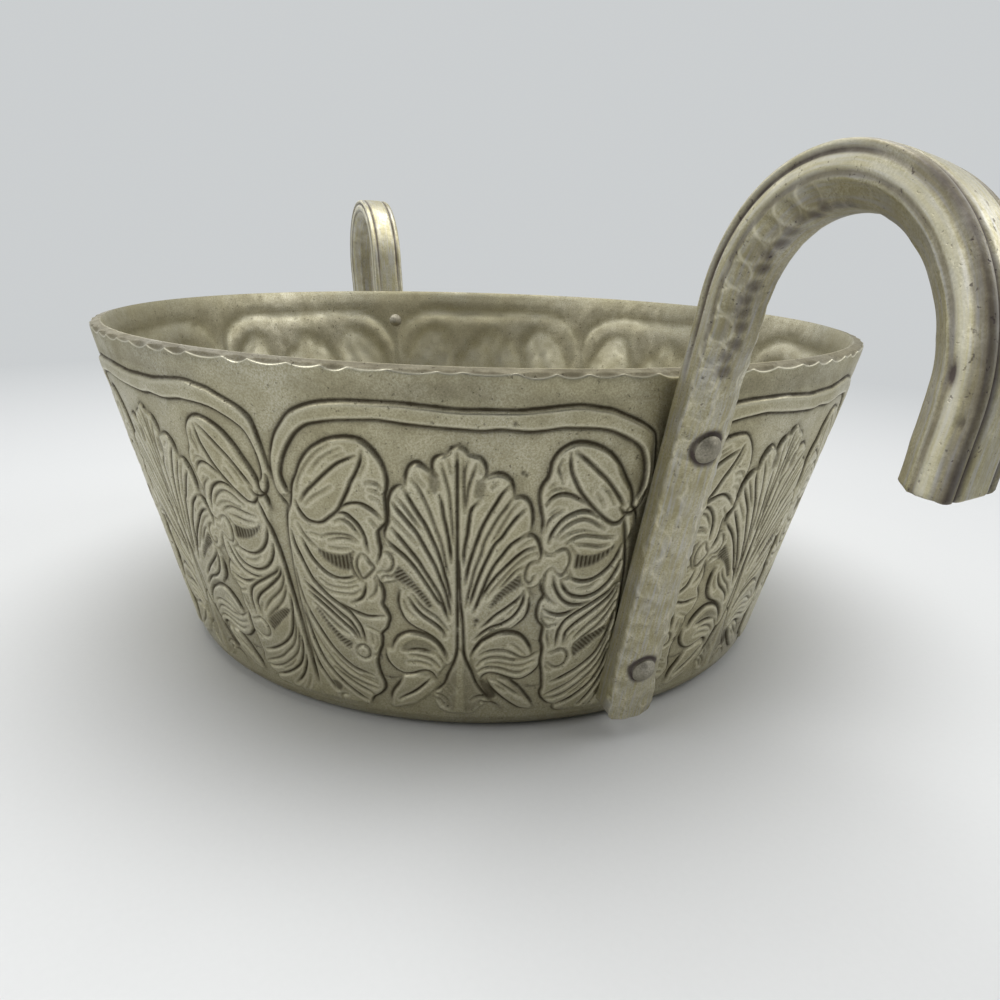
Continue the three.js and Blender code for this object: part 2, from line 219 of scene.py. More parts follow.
def add_dark_screen():
    """A dark screen beside the eye, which only the metal's mirror images show."""
    screen = bpy.data.materials.new("dark_screen")
    screen.use_nodes = True
    shader = screen.node_tree.nodes["Principled BSDF"]
    shader.inputs["Base Color"].default_value = SCREEN_COLOUR
    shader.inputs["Roughness"].default_value = 0.9
    corners = [(x, y, z) for z in (0.0, SCREEN_HEIGHT) for x, y in SCREEN_FOOT]
    mesh = bpy.data.meshes.new("dark_screen")
    mesh.from_pydata(corners, [], [(0, 1, 4, 3), (1, 2, 5, 4)])
    mesh.materials.append(screen)
    holder = bpy.data.objects.new("dark_screen", mesh)
    holder.visible_camera = False
    bpy.context.scene.collection.objects.link(holder)


def add_lamp(name, place, size, power):
    lamp = bpy.data.lights.new(name, "AREA")
    lamp.shape = "DISK"
    lamp.size = size
    lamp.energy = power
    holder = bpy.data.objects.new(name, lamp)
    holder.location = place
    aim = LAMPS_AIM_AT - Vector(place)
    holder.rotation_euler = aim.to_track_quat("-Z", "Y").to_euler()
    bpy.context.scene.collection.objects.link(holder)


def add_eye():
    """The camera stands at the eye, turned by a heading, a look down and a roll about its own axis."""
    heading, down = EYE_LOOKS_TOWARDS, EYE_LOOKS_DOWN
    ahead = Vector((math.cos(heading) * math.cos(down), math.sin(heading) * math.cos(down), -math.sin(down)))
    level = Vector((math.sin(heading), -math.cos(heading), 0.0))
    upright = level.cross(ahead)
    right = level * math.cos(EYE_ROLL) + upright * math.sin(EYE_ROLL)
    up = upright * math.cos(EYE_ROLL) - level * math.sin(EYE_ROLL)
    camera = bpy.data.cameras.new("eye")
    camera.lens = LENS_MM
    camera.clip_start = 0.01
    holder = bpy.data.objects.new("eye", camera)
    holder.matrix_world = Matrix.Translation(EYE) @ Matrix((right, up, -ahead)).transposed().to_4x4()
    bpy.context.scene.collection.objects.link(holder)
    bpy.context.scene.camera = holder


bpy.context.scene.view_settings.view_transform = "Standard"
add_table()
add_dark_screen()
light_the_room()
add_lamp("lamp_above", (-0.10, 0.03, 1.15), 1.1, 12.8)
add_lamp("lamp_left", (-0.95, -0.30, 0.50), 0.7, 1.6)
add_lamp("lamp_right", (0.35, 0.95, 0.75), 0.7, 4.0)
add_lamp("lamp_front", (0.15, -0.95, 0.65), 0.7, 2.6)
add_eye()

# Ornament on the wall
# Eight like panels go round the wall, each chased by hand from the front with liners and matting
# punches: a palmette on a stem that parts at the foot, between two tall leaves that each bear a bud,
# under a raised frame moulding.

# Places on a panel are in millimetres: across from its centre line and up the wall from the table.
# A line's kind is its half width and its depth.
DEEP = (0.37, 0.54)
MEDIUM = (0.31, 0.38)
FINE = (0.27, 0.24)

FRAME_OUTER = [
    (-39.2, 62.3), (-39.2, 63.7), (-40.4, 65.4), (-41.5, 68), (-41.6, 71.7), (-41.2, 75.3), (-40.1, 78.5),
    (-38.6, 81.8), (-36.5, 84.8), (-34.4, 87.2), (-31.3, 89), (-28, 90.2), (-24, 90.9), (-20, 91.2),
    (-12, 91.3), (-6, 90.9), (0, 90.4), (4.3, 90.5), (10.6, 90.5), (13.6, 90.8), (17.6, 91.3), (20.9, 91.7),
    (23.6, 91.7), (26.3, 91.2), (28.9, 90.7), (30.9, 89.8), (33.6, 88.5), (35.9, 87.3), (38.1, 85.7),
    (39.3, 84), (40.3, 79), (41, 74), (41.5, 70),
]
FRAME_INNER = [
    (-37.9, 66.8), (-38.2, 67.3), (-39.1, 70.3), (-39.1, 72.3), (-37.9, 75.7), (-35.9, 79.3), (-33.7, 82.3),
    (-31.4, 84.3), (-29.1, 85.3), (-24.4, 86.3), (-19.7, 86.8), (-15.7, 87.1), (-10.4, 86.6), (-5.4, 86.2),
    (0, 85.9), (4.3, 85.7), (7.6, 86.1), (13.6, 85.7), (19.3, 86.5), (21.6, 86.5), (25.9, 86.3),
    (28.9, 85.8), (31.9, 84.5), (34.9, 82.7), (36.9, 80.7), (38.3, 77), (38.8, 73.5), (38.5, 70.5),
    (37.4, 69),
]
FRAME = [
    (DEEP, FRAME_OUTER),
    (DEEP, FRAME_INNER),
    (DEEP, [(-39.2, 63.7), (-40, 60), (-40.7, 56), (-41.2, 50), (-41.5, 44), (-41.6, 34), (-41.6, 24),
            (-41.5, 10)]),
    (DEEP, [(40, 71), (39.4, 67.5), (37.9, 65.5), (35.9, 65.2), (34.6, 66.8)]),
    (DEEP, [(35.9, 64), (37.4, 58), (38.9, 50), (39.7, 40), (40.4, 30), (40.9, 20), (41.6, 10)]),
]

BUD_LEFT_EDGE = [
    (-39.1, 62.3), (-37.9, 65.3), (-36.9, 69.3), (-35.4, 72.3), (-33.7, 75.7), (-31.4, 78.7), (-29.1, 80.5),
    (-26.4, 82), (-23.7, 82.7), (-21.1, 82.8), (-19.1, 82.2), (-17.1, 80), (-15.7, 77.3), (-15, 74),
    (-15.1, 71.3), (-15.7, 68.7), (-15.7, 63), (-16.7, 61.3), (-17.9, 59.7), (-17.9, 57.3), (-17.7, 55),
    (-18.2, 52.7), (-18.9, 51),
]
BUD_LEFT = [
    (DEEP, BUD_LEFT_EDGE),
    (FINE, [(-35.6, 68.3), (-34.9, 71), (-33.7, 73.3), (-31.7, 76), (-29.4, 78.5), (-26.4, 80.7)]),
    (FINE, [(-31.7, 73.3), (-29.4, 76.3), (-27.1, 78.2), (-24.1, 80)]),
    (FINE, [(-26.7, 77.3), (-23.4, 78.8)]),
    (DEEP, [(-35.1, 65.7), (-33.6, 68), (-31.4, 70.3), (-29.4, 72.3), (-27.4, 74.3), (-25.1, 76.3),
            (-22.7, 77.7), (-21.1, 78.5)]),
    (DEEP, [(-19.6, 79.7), (-20.2, 77), (-21.4, 74.3), (-22.7, 72), (-23.7, 69.7), (-25.1, 67),
            (-26.7, 64.2), (-29.1, 62), (-30.7, 60.7), (-32.4, 60.3), (-34.1, 60.7), (-35.2, 61.7),
            (-36.1, 63.3), (-36.6, 65.5)]),
    (FINE, [(-34.1, 65), (-31.7, 67.3), (-29.4, 68.8), (-27.4, 70.3)]),
    (FINE, [(-19.1, 78.3), (-19.4, 76.3), (-20.7, 73.7)]),
    (MEDIUM, [(-19.4, 72.2), (-18.4, 72.5), (-17.1, 72.2), (-16.2, 71)]),
    (FINE, [(-18.7, 70.5), (-17.4, 70.3), (-16.4, 69)]),
    (FINE, [(-18.7, 68.7), (-17.1, 68), (-16.2, 65.7)]),
]

BUD_RIGHT_EDGE = [
    (17.6, 60.7), (17.6, 63.7), (17.1, 66), (16.6, 68.3), (16.3, 71), (16.8, 73.3), (17.6, 74.7),
    (18, 76.7), (18.3, 79), (19.3, 81), (20.6, 82.3), (22.3, 83.2), (24.3, 83.3), (26.6, 82.7),
    (28.9, 81.5), (30.9, 79.8), (32.9, 77.3), (34.6, 74.3), (36.3, 71.3), (37.1, 68.7), (37.3, 67),
    (38.6, 65), (39.3, 62),
]
BUD_RIGHT = [
    (DEEP, BUD_RIGHT_EDGE),
    (FINE, [(32.3, 77.3), (33.9, 74.3), (35.3, 72.3)]),
    (DEEP, [(21.7, 80.8), (21.9, 78.7), (22.4, 76.3), (23.6, 73.7), (24.9, 71.3), (26.6, 69), (28.3, 67),
            (30.3, 65), (32.3, 63.3), (33.6, 62.7), (34.9, 63), (35.9, 64.3), (36.6, 66.2)]),
    (DEEP, [(22.8, 81.2), (25.3, 79), (27.6, 76.7), (30.3, 74), (32.6, 71), (34.3, 68.7), (35.3, 67.2)]),
    (FINE, [(29.6, 72.7), (31.3, 70.7), (32.9, 68)]),
    (FINE, [(28.6, 70.7), (30.6, 67.3)]),
    (MEDIUM, [(20.3, 79.3), (19.6, 77.3), (20.3, 75.3), (20.9, 73.8)]),
    (FINE, [(20.6, 78), (21.1, 75.3)]),
    (FINE, [(19.3, 73.7), (18.4, 72.8)]),
    (FINE, [(17.9, 70.7), (18.9, 72), (20.6, 72.3), (22.3, 71.7)]),
]

CALYX_LEFT = [
    (DEEP, [(-26.4, 64.7), (-24.7, 66), (-22.7, 66.7), (-20.7, 66.7), (-18.7, 65.5), (-16.9, 63.5)]),
    (DEEP, [(-27.7, 63.2), (-25.7, 63.8), (-24.4, 63.5), (-22.7, 61.8), (-21.7, 60), (-21.1, 58),
            (-20.9, 56), (-20.7, 54)]),
    (MEDIUM, [(-27.7, 61.3), (-26.1, 62), (-24.4, 61.5), (-23.1, 59.7), (-22.1, 58)]),
    (MEDIUM, [(-31.4, 56.8), (-29.1, 57.7), (-26.4, 58), (-24.4, 57.7), (-22.9, 56.5)]),
    (MEDIUM, [(-29.7, 56), (-27.4, 56.8), (-25.1, 57), (-22.9, 56.5)]),
    (FINE, [(-34.1, 57.2), (-31.4, 56.7)]),
    (FINE, [(-30, 54), (-27.7, 54), (-25.1, 54.2)]),
    (MEDIUM, [(-19.4, 62.8), (-18.1, 61)]),
    (MEDIUM, [(-37.1, 59.3), (-36.1, 56.7), (-34.7, 54.8), (-33.6, 53.7)]),
    (DEEP, [(-36.9, 55.3), (-36.1, 52.7), (-35.1, 50.3), (-33.4, 48), (-31.4, 46.3), (-29.1, 45.5),
            (-26.7, 45.8), (-24.7, 46.7)]),
    (FINE, [(-29.4, 44.3), (-26.7, 44.2), (-24.1, 45.7)]),
    (FINE, [(-34, 44.5), (-32.5, 43.2), (-30.9, 42.7), (-29.4, 42.7), (-26.7, 43), (-24.4, 44)]),
    (FINE, [(-35, 43.5), (-33.5, 42), (-32, 41.2), (-30.7, 41), (-28.1, 41), (-25.7, 41.3), (-23.7, 42.7)]),
    (DEEP, [(-22.2, 45), (-22.6, 43), (-23.4, 41), (-24.7, 39.7), (-26.4, 38.7)]),
]

CALYX_RIGHT = [
    (DEEP, [(17.9, 68.3), (18.9, 70), (20.6, 71), (22.6, 70.8), (24.6, 69.7), (26.3, 68.7)]),
    (MEDIUM, [(18.9, 65.7), (20.3, 67)]),
    (MEDIUM, [(18.3, 61.3), (18.6, 63.3), (19.6, 65.3), (21.6, 66.8)]),
    (DEEP, [(19.3, 58.3), (19.9, 61), (21.6, 64), (23.6, 65.7), (25.9, 66.5), (27.9, 66), (29.6, 64.7)]),
    (MEDIUM, [(20.9, 59.7), (22.3, 62), (24.3, 63.7), (26.3, 64.3), (28.3, 63.7), (30.3, 62.3),
              (31.6, 61.5)]),
    (FINE, [(21.9, 59.3), (23.9, 60.7), (26.3, 61.3), (28.3, 60.8), (29.9, 60.3)]),
    (MEDIUM, [(23.3, 58), (24.9, 59.3), (26.9, 60), (29.3, 59.7), (31.6, 59.2), (34.3, 59)]),
    (MEDIUM, [(25.6, 57.7), (28.3, 57.3), (30.6, 56.8), (33.3, 57)]),
    (MEDIUM, [(24.3, 57.3), (25.3, 55.7), (25.9, 55)]),
    (DEEP, [(24.9, 48.7), (26.6, 47.7), (28.6, 47.2), (30.9, 47.5), (32.9, 48.8), (34.6, 50.7),
            (35.9, 53.3), (36.8, 56.7)]),
    (FINE, [(27.6, 45), (30.3, 45.3), (32.6, 47)]),
    (DEEP, [(23.3, 47.7), (23.9, 46), (25.3, 44), (26.9, 43), (29.3, 42.5), (31.6, 43), (33.6, 44.3),
            (35.3, 46.3), (36.6, 49), (37.4, 52)]),
    (DEEP, [(21.4, 48.7), (21.8, 46.7), (22.9, 44), (24.6, 41.7), (26.6, 40.5), (28.9, 40.2),
            (31.2, 40.6)]),
    (MEDIUM, [(20.6, 51.3), (19.6, 50), (19.3, 48), (19.4, 45.3), (20.3, 43), (22.6, 40.7)]),
]

LEAF_LEFT_EDGE = [
    (-19.4, 47.5), (-18.7, 45.7), (-18.1, 43.3), (-18.2, 41), (-18.6, 39.3), (-17.7, 37.3), (-17.2, 35.3),
    (-17.6, 33.7), (-18.2, 32), (-19.7, 30.2), (-19.7, 28.7), (-20.1, 26.3), (-20.7, 24.7), (-21.7, 21.3),
    (-21.6, 18.7), (-21.1, 16.3), (-20.4, 14), (-20.7, 12), (-22.4, 10), (-24.2, 8.7), (-25.1, 6.7),
]
LEAF_LEFT = [
    (DEEP, [(-39.4, 57), (-39.2, 53.7), (-38.4, 50.7), (-37.4, 47.3), (-36.1, 44), (-34.4, 41.7),
            (-32.1, 39.3), (-29.4, 37.3), (-27.4, 35.7), (-26.1, 33.7), (-25.1, 31.7), (-24.6, 29.3),
            (-24.4, 27)]),
    (DEEP, [(-29.4, 38), (-27.4, 36.8), (-25.4, 36), (-22.7, 35.3), (-20.4, 35.5), (-18.7, 35.8)]),
    (DEEP, [(-38.6, 42.8), (-37.3, 41.5), (-36, 40.2), (-34, 38.5), (-32, 36.6), (-30, 34.8), (-28, 33.1),
            (-26.8, 31), (-26, 29), (-25.6, 27.3)]),
    (DEEP, [(-37.9, 39.9), (-36, 38.3), (-34, 36.4), (-32, 34.5), (-30, 32.5), (-28, 30.6), (-26.9, 28.9),
            (-26.2, 27.5)]),
    (MEDIUM, [(-36.8, 36.5), (-35.3, 34.8), (-34, 33.3), (-32, 31.4), (-30, 29.5), (-29, 28.9)]),
    (DEEP, [(-39.4, 35.3), (-38.7, 32.7), (-37.4, 29.7), (-36.1, 27), (-34.4, 24), (-32.4, 21.3),
            (-30.4, 19.3), (-28.1, 17.8), (-25.7, 17), (-23.7, 16.3)]),
    (MEDIUM, [(-35.7, 20), (-33.4, 17.3), (-30.7, 15), (-28.1, 13.8), (-25.4, 12.8), (-23.1, 12.2)]),
    (MEDIUM, [(-34.8, 16.8), (-32.8, 15.2), (-30.1, 13.3), (-27.4, 11.8), (-25.1, 10.6), (-23.9, 9.8)]),
    (DEEP, [(-41.2, 34.3), (-40.4, 30.3), (-39.6, 26), (-38.7, 22), (-37.4, 18.3), (-35.4, 15.3),
            (-33.1, 12.7), (-30.4, 10.3), (-28.1, 8.7), (-26.1, 7.7)]),
    (DEEP, [(-41.2, 23.3), (-40.4, 19.3), (-39.4, 16), (-37.7, 12.7), (-36.1, 10), (-35.1, 9)]),
    (FINE, [(-40.4, 35), (-39.9, 30.7), (-38.6, 26.7), (-36.9, 22.7), (-34.9, 19.4)]),
    (MEDIUM, [(-32.4, 8.3), (-34.1, 7.7), (-34.2, 6)]),
    (DEEP, LEAF_LEFT_EDGE),
    (FINE, [(-19.7, 30.2), (-21.1, 31), (-23.1, 32)]),
    (MEDIUM, [(-22.4, 23), (-21.1, 23.7), (-20.7, 22), (-21.7, 21.3)]),
    (MEDIUM, [(-22.4, 29.8), (-22.4, 27)]),
    (MEDIUM, [(-27.2, 23.3), (-26.7, 25), (-25.1, 26), (-23.7, 25), (-23.7, 22.7), (-25.1, 21.7),
              (-26.6, 22.2), (-27.2, 23.3)]),
    (FINE, [(-21.7, 17), (-19.1, 16), (-16.4, 16.5), (-15.4, 17.3)]),
    (FINE, [(-34.3, 21.4), (-32.4, 19.1), (-30.5, 17.5), (-28.2, 15.9), (-25.8, 14.9), (-22.8, 13.9)]),
    (FINE, [(-26.3, 16), (-24.4, 15.3), (-22.6, 14.8)]),
    (FINE, [(-21.3, 29.5), (-20.9, 27.2), (-21.6, 25.2)]),
    (MEDIUM, [(-19.6, 47), (-19.6, 44.6), (-20.2, 42.5), (-21.4, 40.9)]),
    (MEDIUM, [(-40.6, 46), (-40.6, 42), (-40.3, 39), (-39.9, 36.5), (-39.2, 34)]),
]

LEAF_RIGHT_EDGE = [
    (18.6, 48), (18.9, 45.3), (19.6, 43.3), (18.8, 41.3), (18.4, 38.7), (18.9, 36), (20.3, 34),
    (20.4, 32.3), (20.3, 29.7), (20.9, 27.3), (20.8, 23), (21.4, 20), (21.9, 16.7), (22.1, 14.3),
    (21.8, 12.7), (22.4, 10.7), (24.3, 8.7), (25.9, 8.3),
]
LEAF_RIGHT = [
    (DEEP, [(37.3, 45.3), (35.9, 43.3), (33.9, 41.7), (31.6, 40), (29.6, 38.7), (27.6, 37.3), (25.9, 35.7),
            (24.9, 33.7), (24.4, 31.7), (24.3, 27.7)]),
    (DEEP, [(19.9, 39.3), (21.6, 38.3), (23.6, 37.7), (25.9, 38), (28.3, 39)]),
    (FINE, [(19.6, 37.3), (20.9, 36.7), (22.9, 36)]),
    (MEDIUM, [(19.5, 38.2), (19.8, 36.4), (20.6, 34.9), (21.6, 34.2), (23.6, 34.8)]),
    (DEEP, LEAF_RIGHT_EDGE),
    (MEDIUM, [(21.6, 32.7), (21.8, 30.7), (22.6, 27.7)]),
    (MEDIUM, [(22.9, 25.7), (23.6, 26), (25.6, 26.8), (27.3, 25.8), (27.9, 24), (27.3, 22), (25.6, 21),
              (23.9, 21.5), (22.6, 22.7)]),
    (DEEP, [(26.4, 28.3), (26.4, 30.3), (26.6, 32), (28.3, 34.3), (30.6, 36.3), (32.9, 38.3), (35.3, 40.7),
            (37.0, 42.9), (37.9, 45.5)]),
    (FINE, [(26.9, 28), (27.3, 30), (28.6, 32)]),
    (MEDIUM, [(28.9, 29.7), (29.6, 31), (31.9, 33.7), (34.3, 36), (36.3, 38.4), (37.7, 41.4), (38.3, 44.5)]),
    (MEDIUM, [(29.3, 28), (31.3, 30), (33.6, 32), (35.4, 34), (37, 36.7), (38.2, 40)]),
    (DEEP, [(38.8, 37.3), (38.4, 33.5), (37.8, 30.2), (36.9, 27), (35.6, 24.3), (33.6, 22), (31.3, 20),
            (28.6, 18.2), (26.3, 17), (24.6, 16.3)]),
    (MEDIUM, [(38.4, 30.4), (37.8, 26.6), (36.6, 23), (34.9, 20.3), (32.6, 18), (30.3, 15.7), (27.6, 14),
              (24.9, 12.7), (23.3, 11.8)]),
    (MEDIUM, [(38.9, 27.3), (38.3, 24), (37.4, 21), (35.9, 18.3), (33.6, 15.7), (30.9, 13.3),
              (28.6, 11.8), (25.9, 10.8), (23.6, 10.7)]),
    (DEEP, [(39.2, 24.8), (38.8, 21.4), (38, 18.2), (36.6, 15.3), (34.3, 12.7), (31.9, 10.7),
            (29.6, 9.3), (26.9, 8.3)]),
    (DEEP, [(39.4, 18.6), (38.6, 15.3), (37.2, 12.2), (35.5, 9.6), (33.6, 7.4)]),
    (FINE, [(39.5, 12), (38.1, 8.6), (36.6, 6.2)]),
    (DEEP, [(25.9, 8.3), (26.3, 6.3), (28.3, 5.6), (30.9, 5.6)]),
    (FINE, [(22.9, 32.6), (22.9, 30.7), (23.4, 28.9)]),
    (FINE, [(35, 16), (33.5, 14), (32, 12.6), (30.3, 11.5)]),
    (MEDIUM, [(22.4, 21.4), (22.9, 20.6), (23.6, 20.3)]),
]

KNOT = [
    (MEDIUM, [(-24.2, 53.5), (-25.1, 50.7), (-24.9, 48.3), (-23.7, 46), (-22.4, 45.3)]),
    (MEDIUM, [(-22.4, 53.2), (-23.4, 52), (-23.9, 50), (-23.6, 48), (-22.7, 46.3), (-21.4, 47.3),
              (-19.7, 49.7), (-20.7, 51.3), (-21.4, 52.8), (-22.4, 53.2)]),
    (MEDIUM, [(-17.6, 54.3), (-16.1, 54.5), (-15.2, 53), (-15.1, 51.3), (-15.7, 49.7), (-16.7, 49),
              (-18.4, 49)]),
    (MEDIUM, [(-19.1, 48.3), (-17.7, 49)]),
    (MEDIUM, [(-18.4, 46), (-17.4, 47.7), (-15.7, 47.8), (-14.7, 49)]),
    (MEDIUM, [(20.6, 55), (21.9, 56.2), (23.3, 56.5), (24.3, 55.3), (24.7, 53.3), (24.3, 50.7),
              (23.3, 49.2), (21.9, 49.8), (21.1, 50.8)]),
    (MEDIUM, [(17.9, 56.3), (19.3, 55.2), (20.9, 55)]),
    (MEDIUM, [(17.6, 53.3), (16.3, 53.2), (15.3, 52.3), (14.8, 50.3), (14.9, 48.3), (15.8, 47.3),
              (16.6, 48), (16.8, 49.3)]),
    (MEDIUM, [(13.6, 49.7), (13.9, 47.3), (14.9, 46.6)]),
    (MEDIUM, [(24.9, 50.3), (25.3, 48.7), (23.3, 47.7)]),
]

PALMETTE_LEFT_EDGE = [
    [(0, 82.3), (-0.7, 82.2), (-1.9, 81.3), (-2.6, 80)],
    [(-2.6, 80), (-3.7, 80), (-5.1, 79), (-5.6, 77.3), (-5.4, 75.7), (-4.7, 75)],
    [(-6.1, 76.3), (-7.1, 77.3), (-8.6, 78), (-10.1, 77), (-10.9, 75), (-11.2, 72.3)],
    [(-11.4, 72), (-12.7, 72), (-14.1, 70.7), (-14.9, 68.7), (-15.2, 66.3), (-15.2, 63)],
    [(-15.1, 63), (-16.4, 60.3), (-16.6, 58.3), (-16.4, 58)],
]
PALMETTE_LEFT = [(DEEP, part) for part in PALMETTE_LEFT_EDGE] + [
    (DEEP, [(-0.55, 80.5), (-0.55, 57), (-0.55, 34), (-0.6, 30.7), (-0.7, 26.7), (-1.4, 23.3), (-2.2, 21),
            (-3.1, 18.7), (-4.1, 15.7), (-5.7, 14), (-7, 13)]),
    (MEDIUM, [(-2.3, 79), (-1.7, 76)]),
    (MEDIUM, [(-3.6, 78), (-2.9, 74.3), (-2.2, 71), (-1.9, 67), (-1.6, 62.3), (-1.4, 58)]),
    (DEEP, [(-4.2, 70.3), (-3.7, 67.7), (-3.4, 65), (-2.7, 61), (-2.2, 57), (-1.9, 53)]),
    (MEDIUM, [(-9.7, 74), (-8.4, 71.7), (-7.1, 68.3), (-6.1, 65.3), (-5.4, 62.5), (-4.4, 59.3), (-3.7, 56),
              (-3.1, 52), (-2.6, 49.3)]),
    (FINE, [(-8.9, 75.5), (-8.4, 74), (-7.4, 72.7)]),
    (DEEP, [(-11.4, 71.3), (-10.4, 68.7), (-9.1, 66), (-7.5, 62.9), (-6.4, 60), (-5.1, 56.3), (-4.1, 52.7),
            (-3.4, 49.3), (-2.7, 46), (-2.1, 41.3)]),
    (MEDIUM, [(-13.2, 69.2), (-11.7, 67), (-10.1, 64.3), (-8.4, 61.5)]),
    (DEEP, [(-14.2, 67.7), (-13, 65.8), (-11.4, 63.5), (-9.7, 61), (-8.4, 58.3), (-7.1, 55.3), (-5.7, 52),
            (-4.4, 48), (-3.4, 44.7), (-2.7, 41.3), (-2.2, 37.7)]),
    (FINE, [(-14.7, 64.3), (-13.1, 62.3), (-11.4, 60), (-9.4, 57.3)]),
    (DEEP, [(-14.7, 61), (-13.1, 58.7), (-11.1, 55.7), (-9.4, 53), (-8.1, 50.3), (-6.4, 47), (-4.7, 43.3),
            (-3.7, 40), (-2.9, 36.7)]),
    (DEEP, [(-16.4, 58), (-14.4, 56), (-12.4, 54), (-10.4, 51.3), (-8.7, 48.3), (-7.1, 45.3), (-5.4, 42),
            (-4.1, 40.3), (-2.7, 36)]),
]

PALMETTE_RIGHT_EDGE = [
    [(0, 82.3), (0.9, 81.7), (1.8, 80.3)],
    [(2.6, 80.3), (3.9, 79.8), (4.9, 78.3), (5.3, 76.3), (4.9, 74.7)],
    [(5.6, 75.3), (7.3, 76), (8.9, 75.7), (10.3, 74.3), (10.9, 72.3), (11.1, 70.7)],
    [(11.3, 70.3), (12.6, 70.5), (13.9, 69.7), (14.8, 68), (15.3, 65.7), (15.4, 63.7), (15.3, 61.7)],
    [(14.3, 60.5), (15.6, 60.5), (16.9, 59), (17.6, 57), (18, 55), (17.6, 53.3)],
]
PALMETTE_RIGHT = [(DEEP, part) for part in PALMETTE_RIGHT_EDGE] + [
    (DEEP, [(-0.4, 55), (0.1, 42), (0.6, 36.7), (0.9, 30.3), (1.1, 25.7), (1.9, 22.7), (3.1, 19.7),
            (4.1, 16.7), (5.6, 14), (7.3, 11.7), (8.6, 10.3)]),
    (FINE, [(0.6, 79.7), (0.6, 72)]),
    (MEDIUM, [(1.6, 79), (0.9, 75.7), (0.9, 67)]),
    (MEDIUM, [(3.4, 78.2), (2.6, 75.7), (1.8, 72.7), (1.4, 69.7), (1.1, 66.3)]),
    (DEEP, [(3.9, 69), (2.4, 67), (1.9, 63.7), (1.6, 60.3), (1.3, 58.7), (0.9, 55.3), (0.9, 52.3)]),
    (FINE, [(4.4, 76.3), (3.9, 77.5)]),
    (DEEP, [(9.9, 72.8), (8.6, 71), (7.3, 68.3), (5.9, 65.3), (4.6, 62), (3.6, 58.5), (2.6, 54.7),
            (1.8, 51), (1.3, 47)]),
    (MEDIUM, [(10.9, 70.2), (9.6, 67.7), (7.9, 64.7), (6.6, 61.7), (5.4, 58.7), (4.6, 55), (3.4, 51),
              (2.6, 47), (1.9, 43.3), (1.4, 40)]),
    (DEEP, [(13.4, 67), (11.9, 65), (10.3, 62.3), (8.9, 59.7), (7.6, 58), (6.3, 54.7), (4.9, 50.7),
            (3.9, 47.3), (2.9, 43.3), (2.3, 40.7)]),
    (DEEP, [(14.3, 60.7), (12.6, 59.3), (10.9, 57.7), (9.3, 55), (7.6, 52), (6.3, 48.7), (5.3, 45.3),
            (4.3, 42), (3.3, 38.7)]),
    (DEEP, [(16.6, 57.2), (14.6, 56.5), (12.6, 54.8), (10.6, 52.3), (8.6, 49.7), (7.3, 47.7), (5.9, 45),
            (4.9, 42.7)]),
    (MEDIUM, [(14.1, 51.7), (12.6, 50.7), (10.9, 48.3), (9.3, 46)]),
    (MEDIUM, [(7.5, 73.7), (6.4, 72.7)]),
    (FINE, [(12.3, 69), (11, 67.3), (9.6, 64.4), (8.5, 62), (7.2, 58.9)]),
    (FINE, [(16.8, 55.7), (15, 54.8), (13.3, 53.3), (11.4, 51), (9.6, 48.3), (7.8, 45.5), (6.2, 43)]),
    (FINE, [(15.5, 59), (14, 58), (12.9, 56.9)]),
]

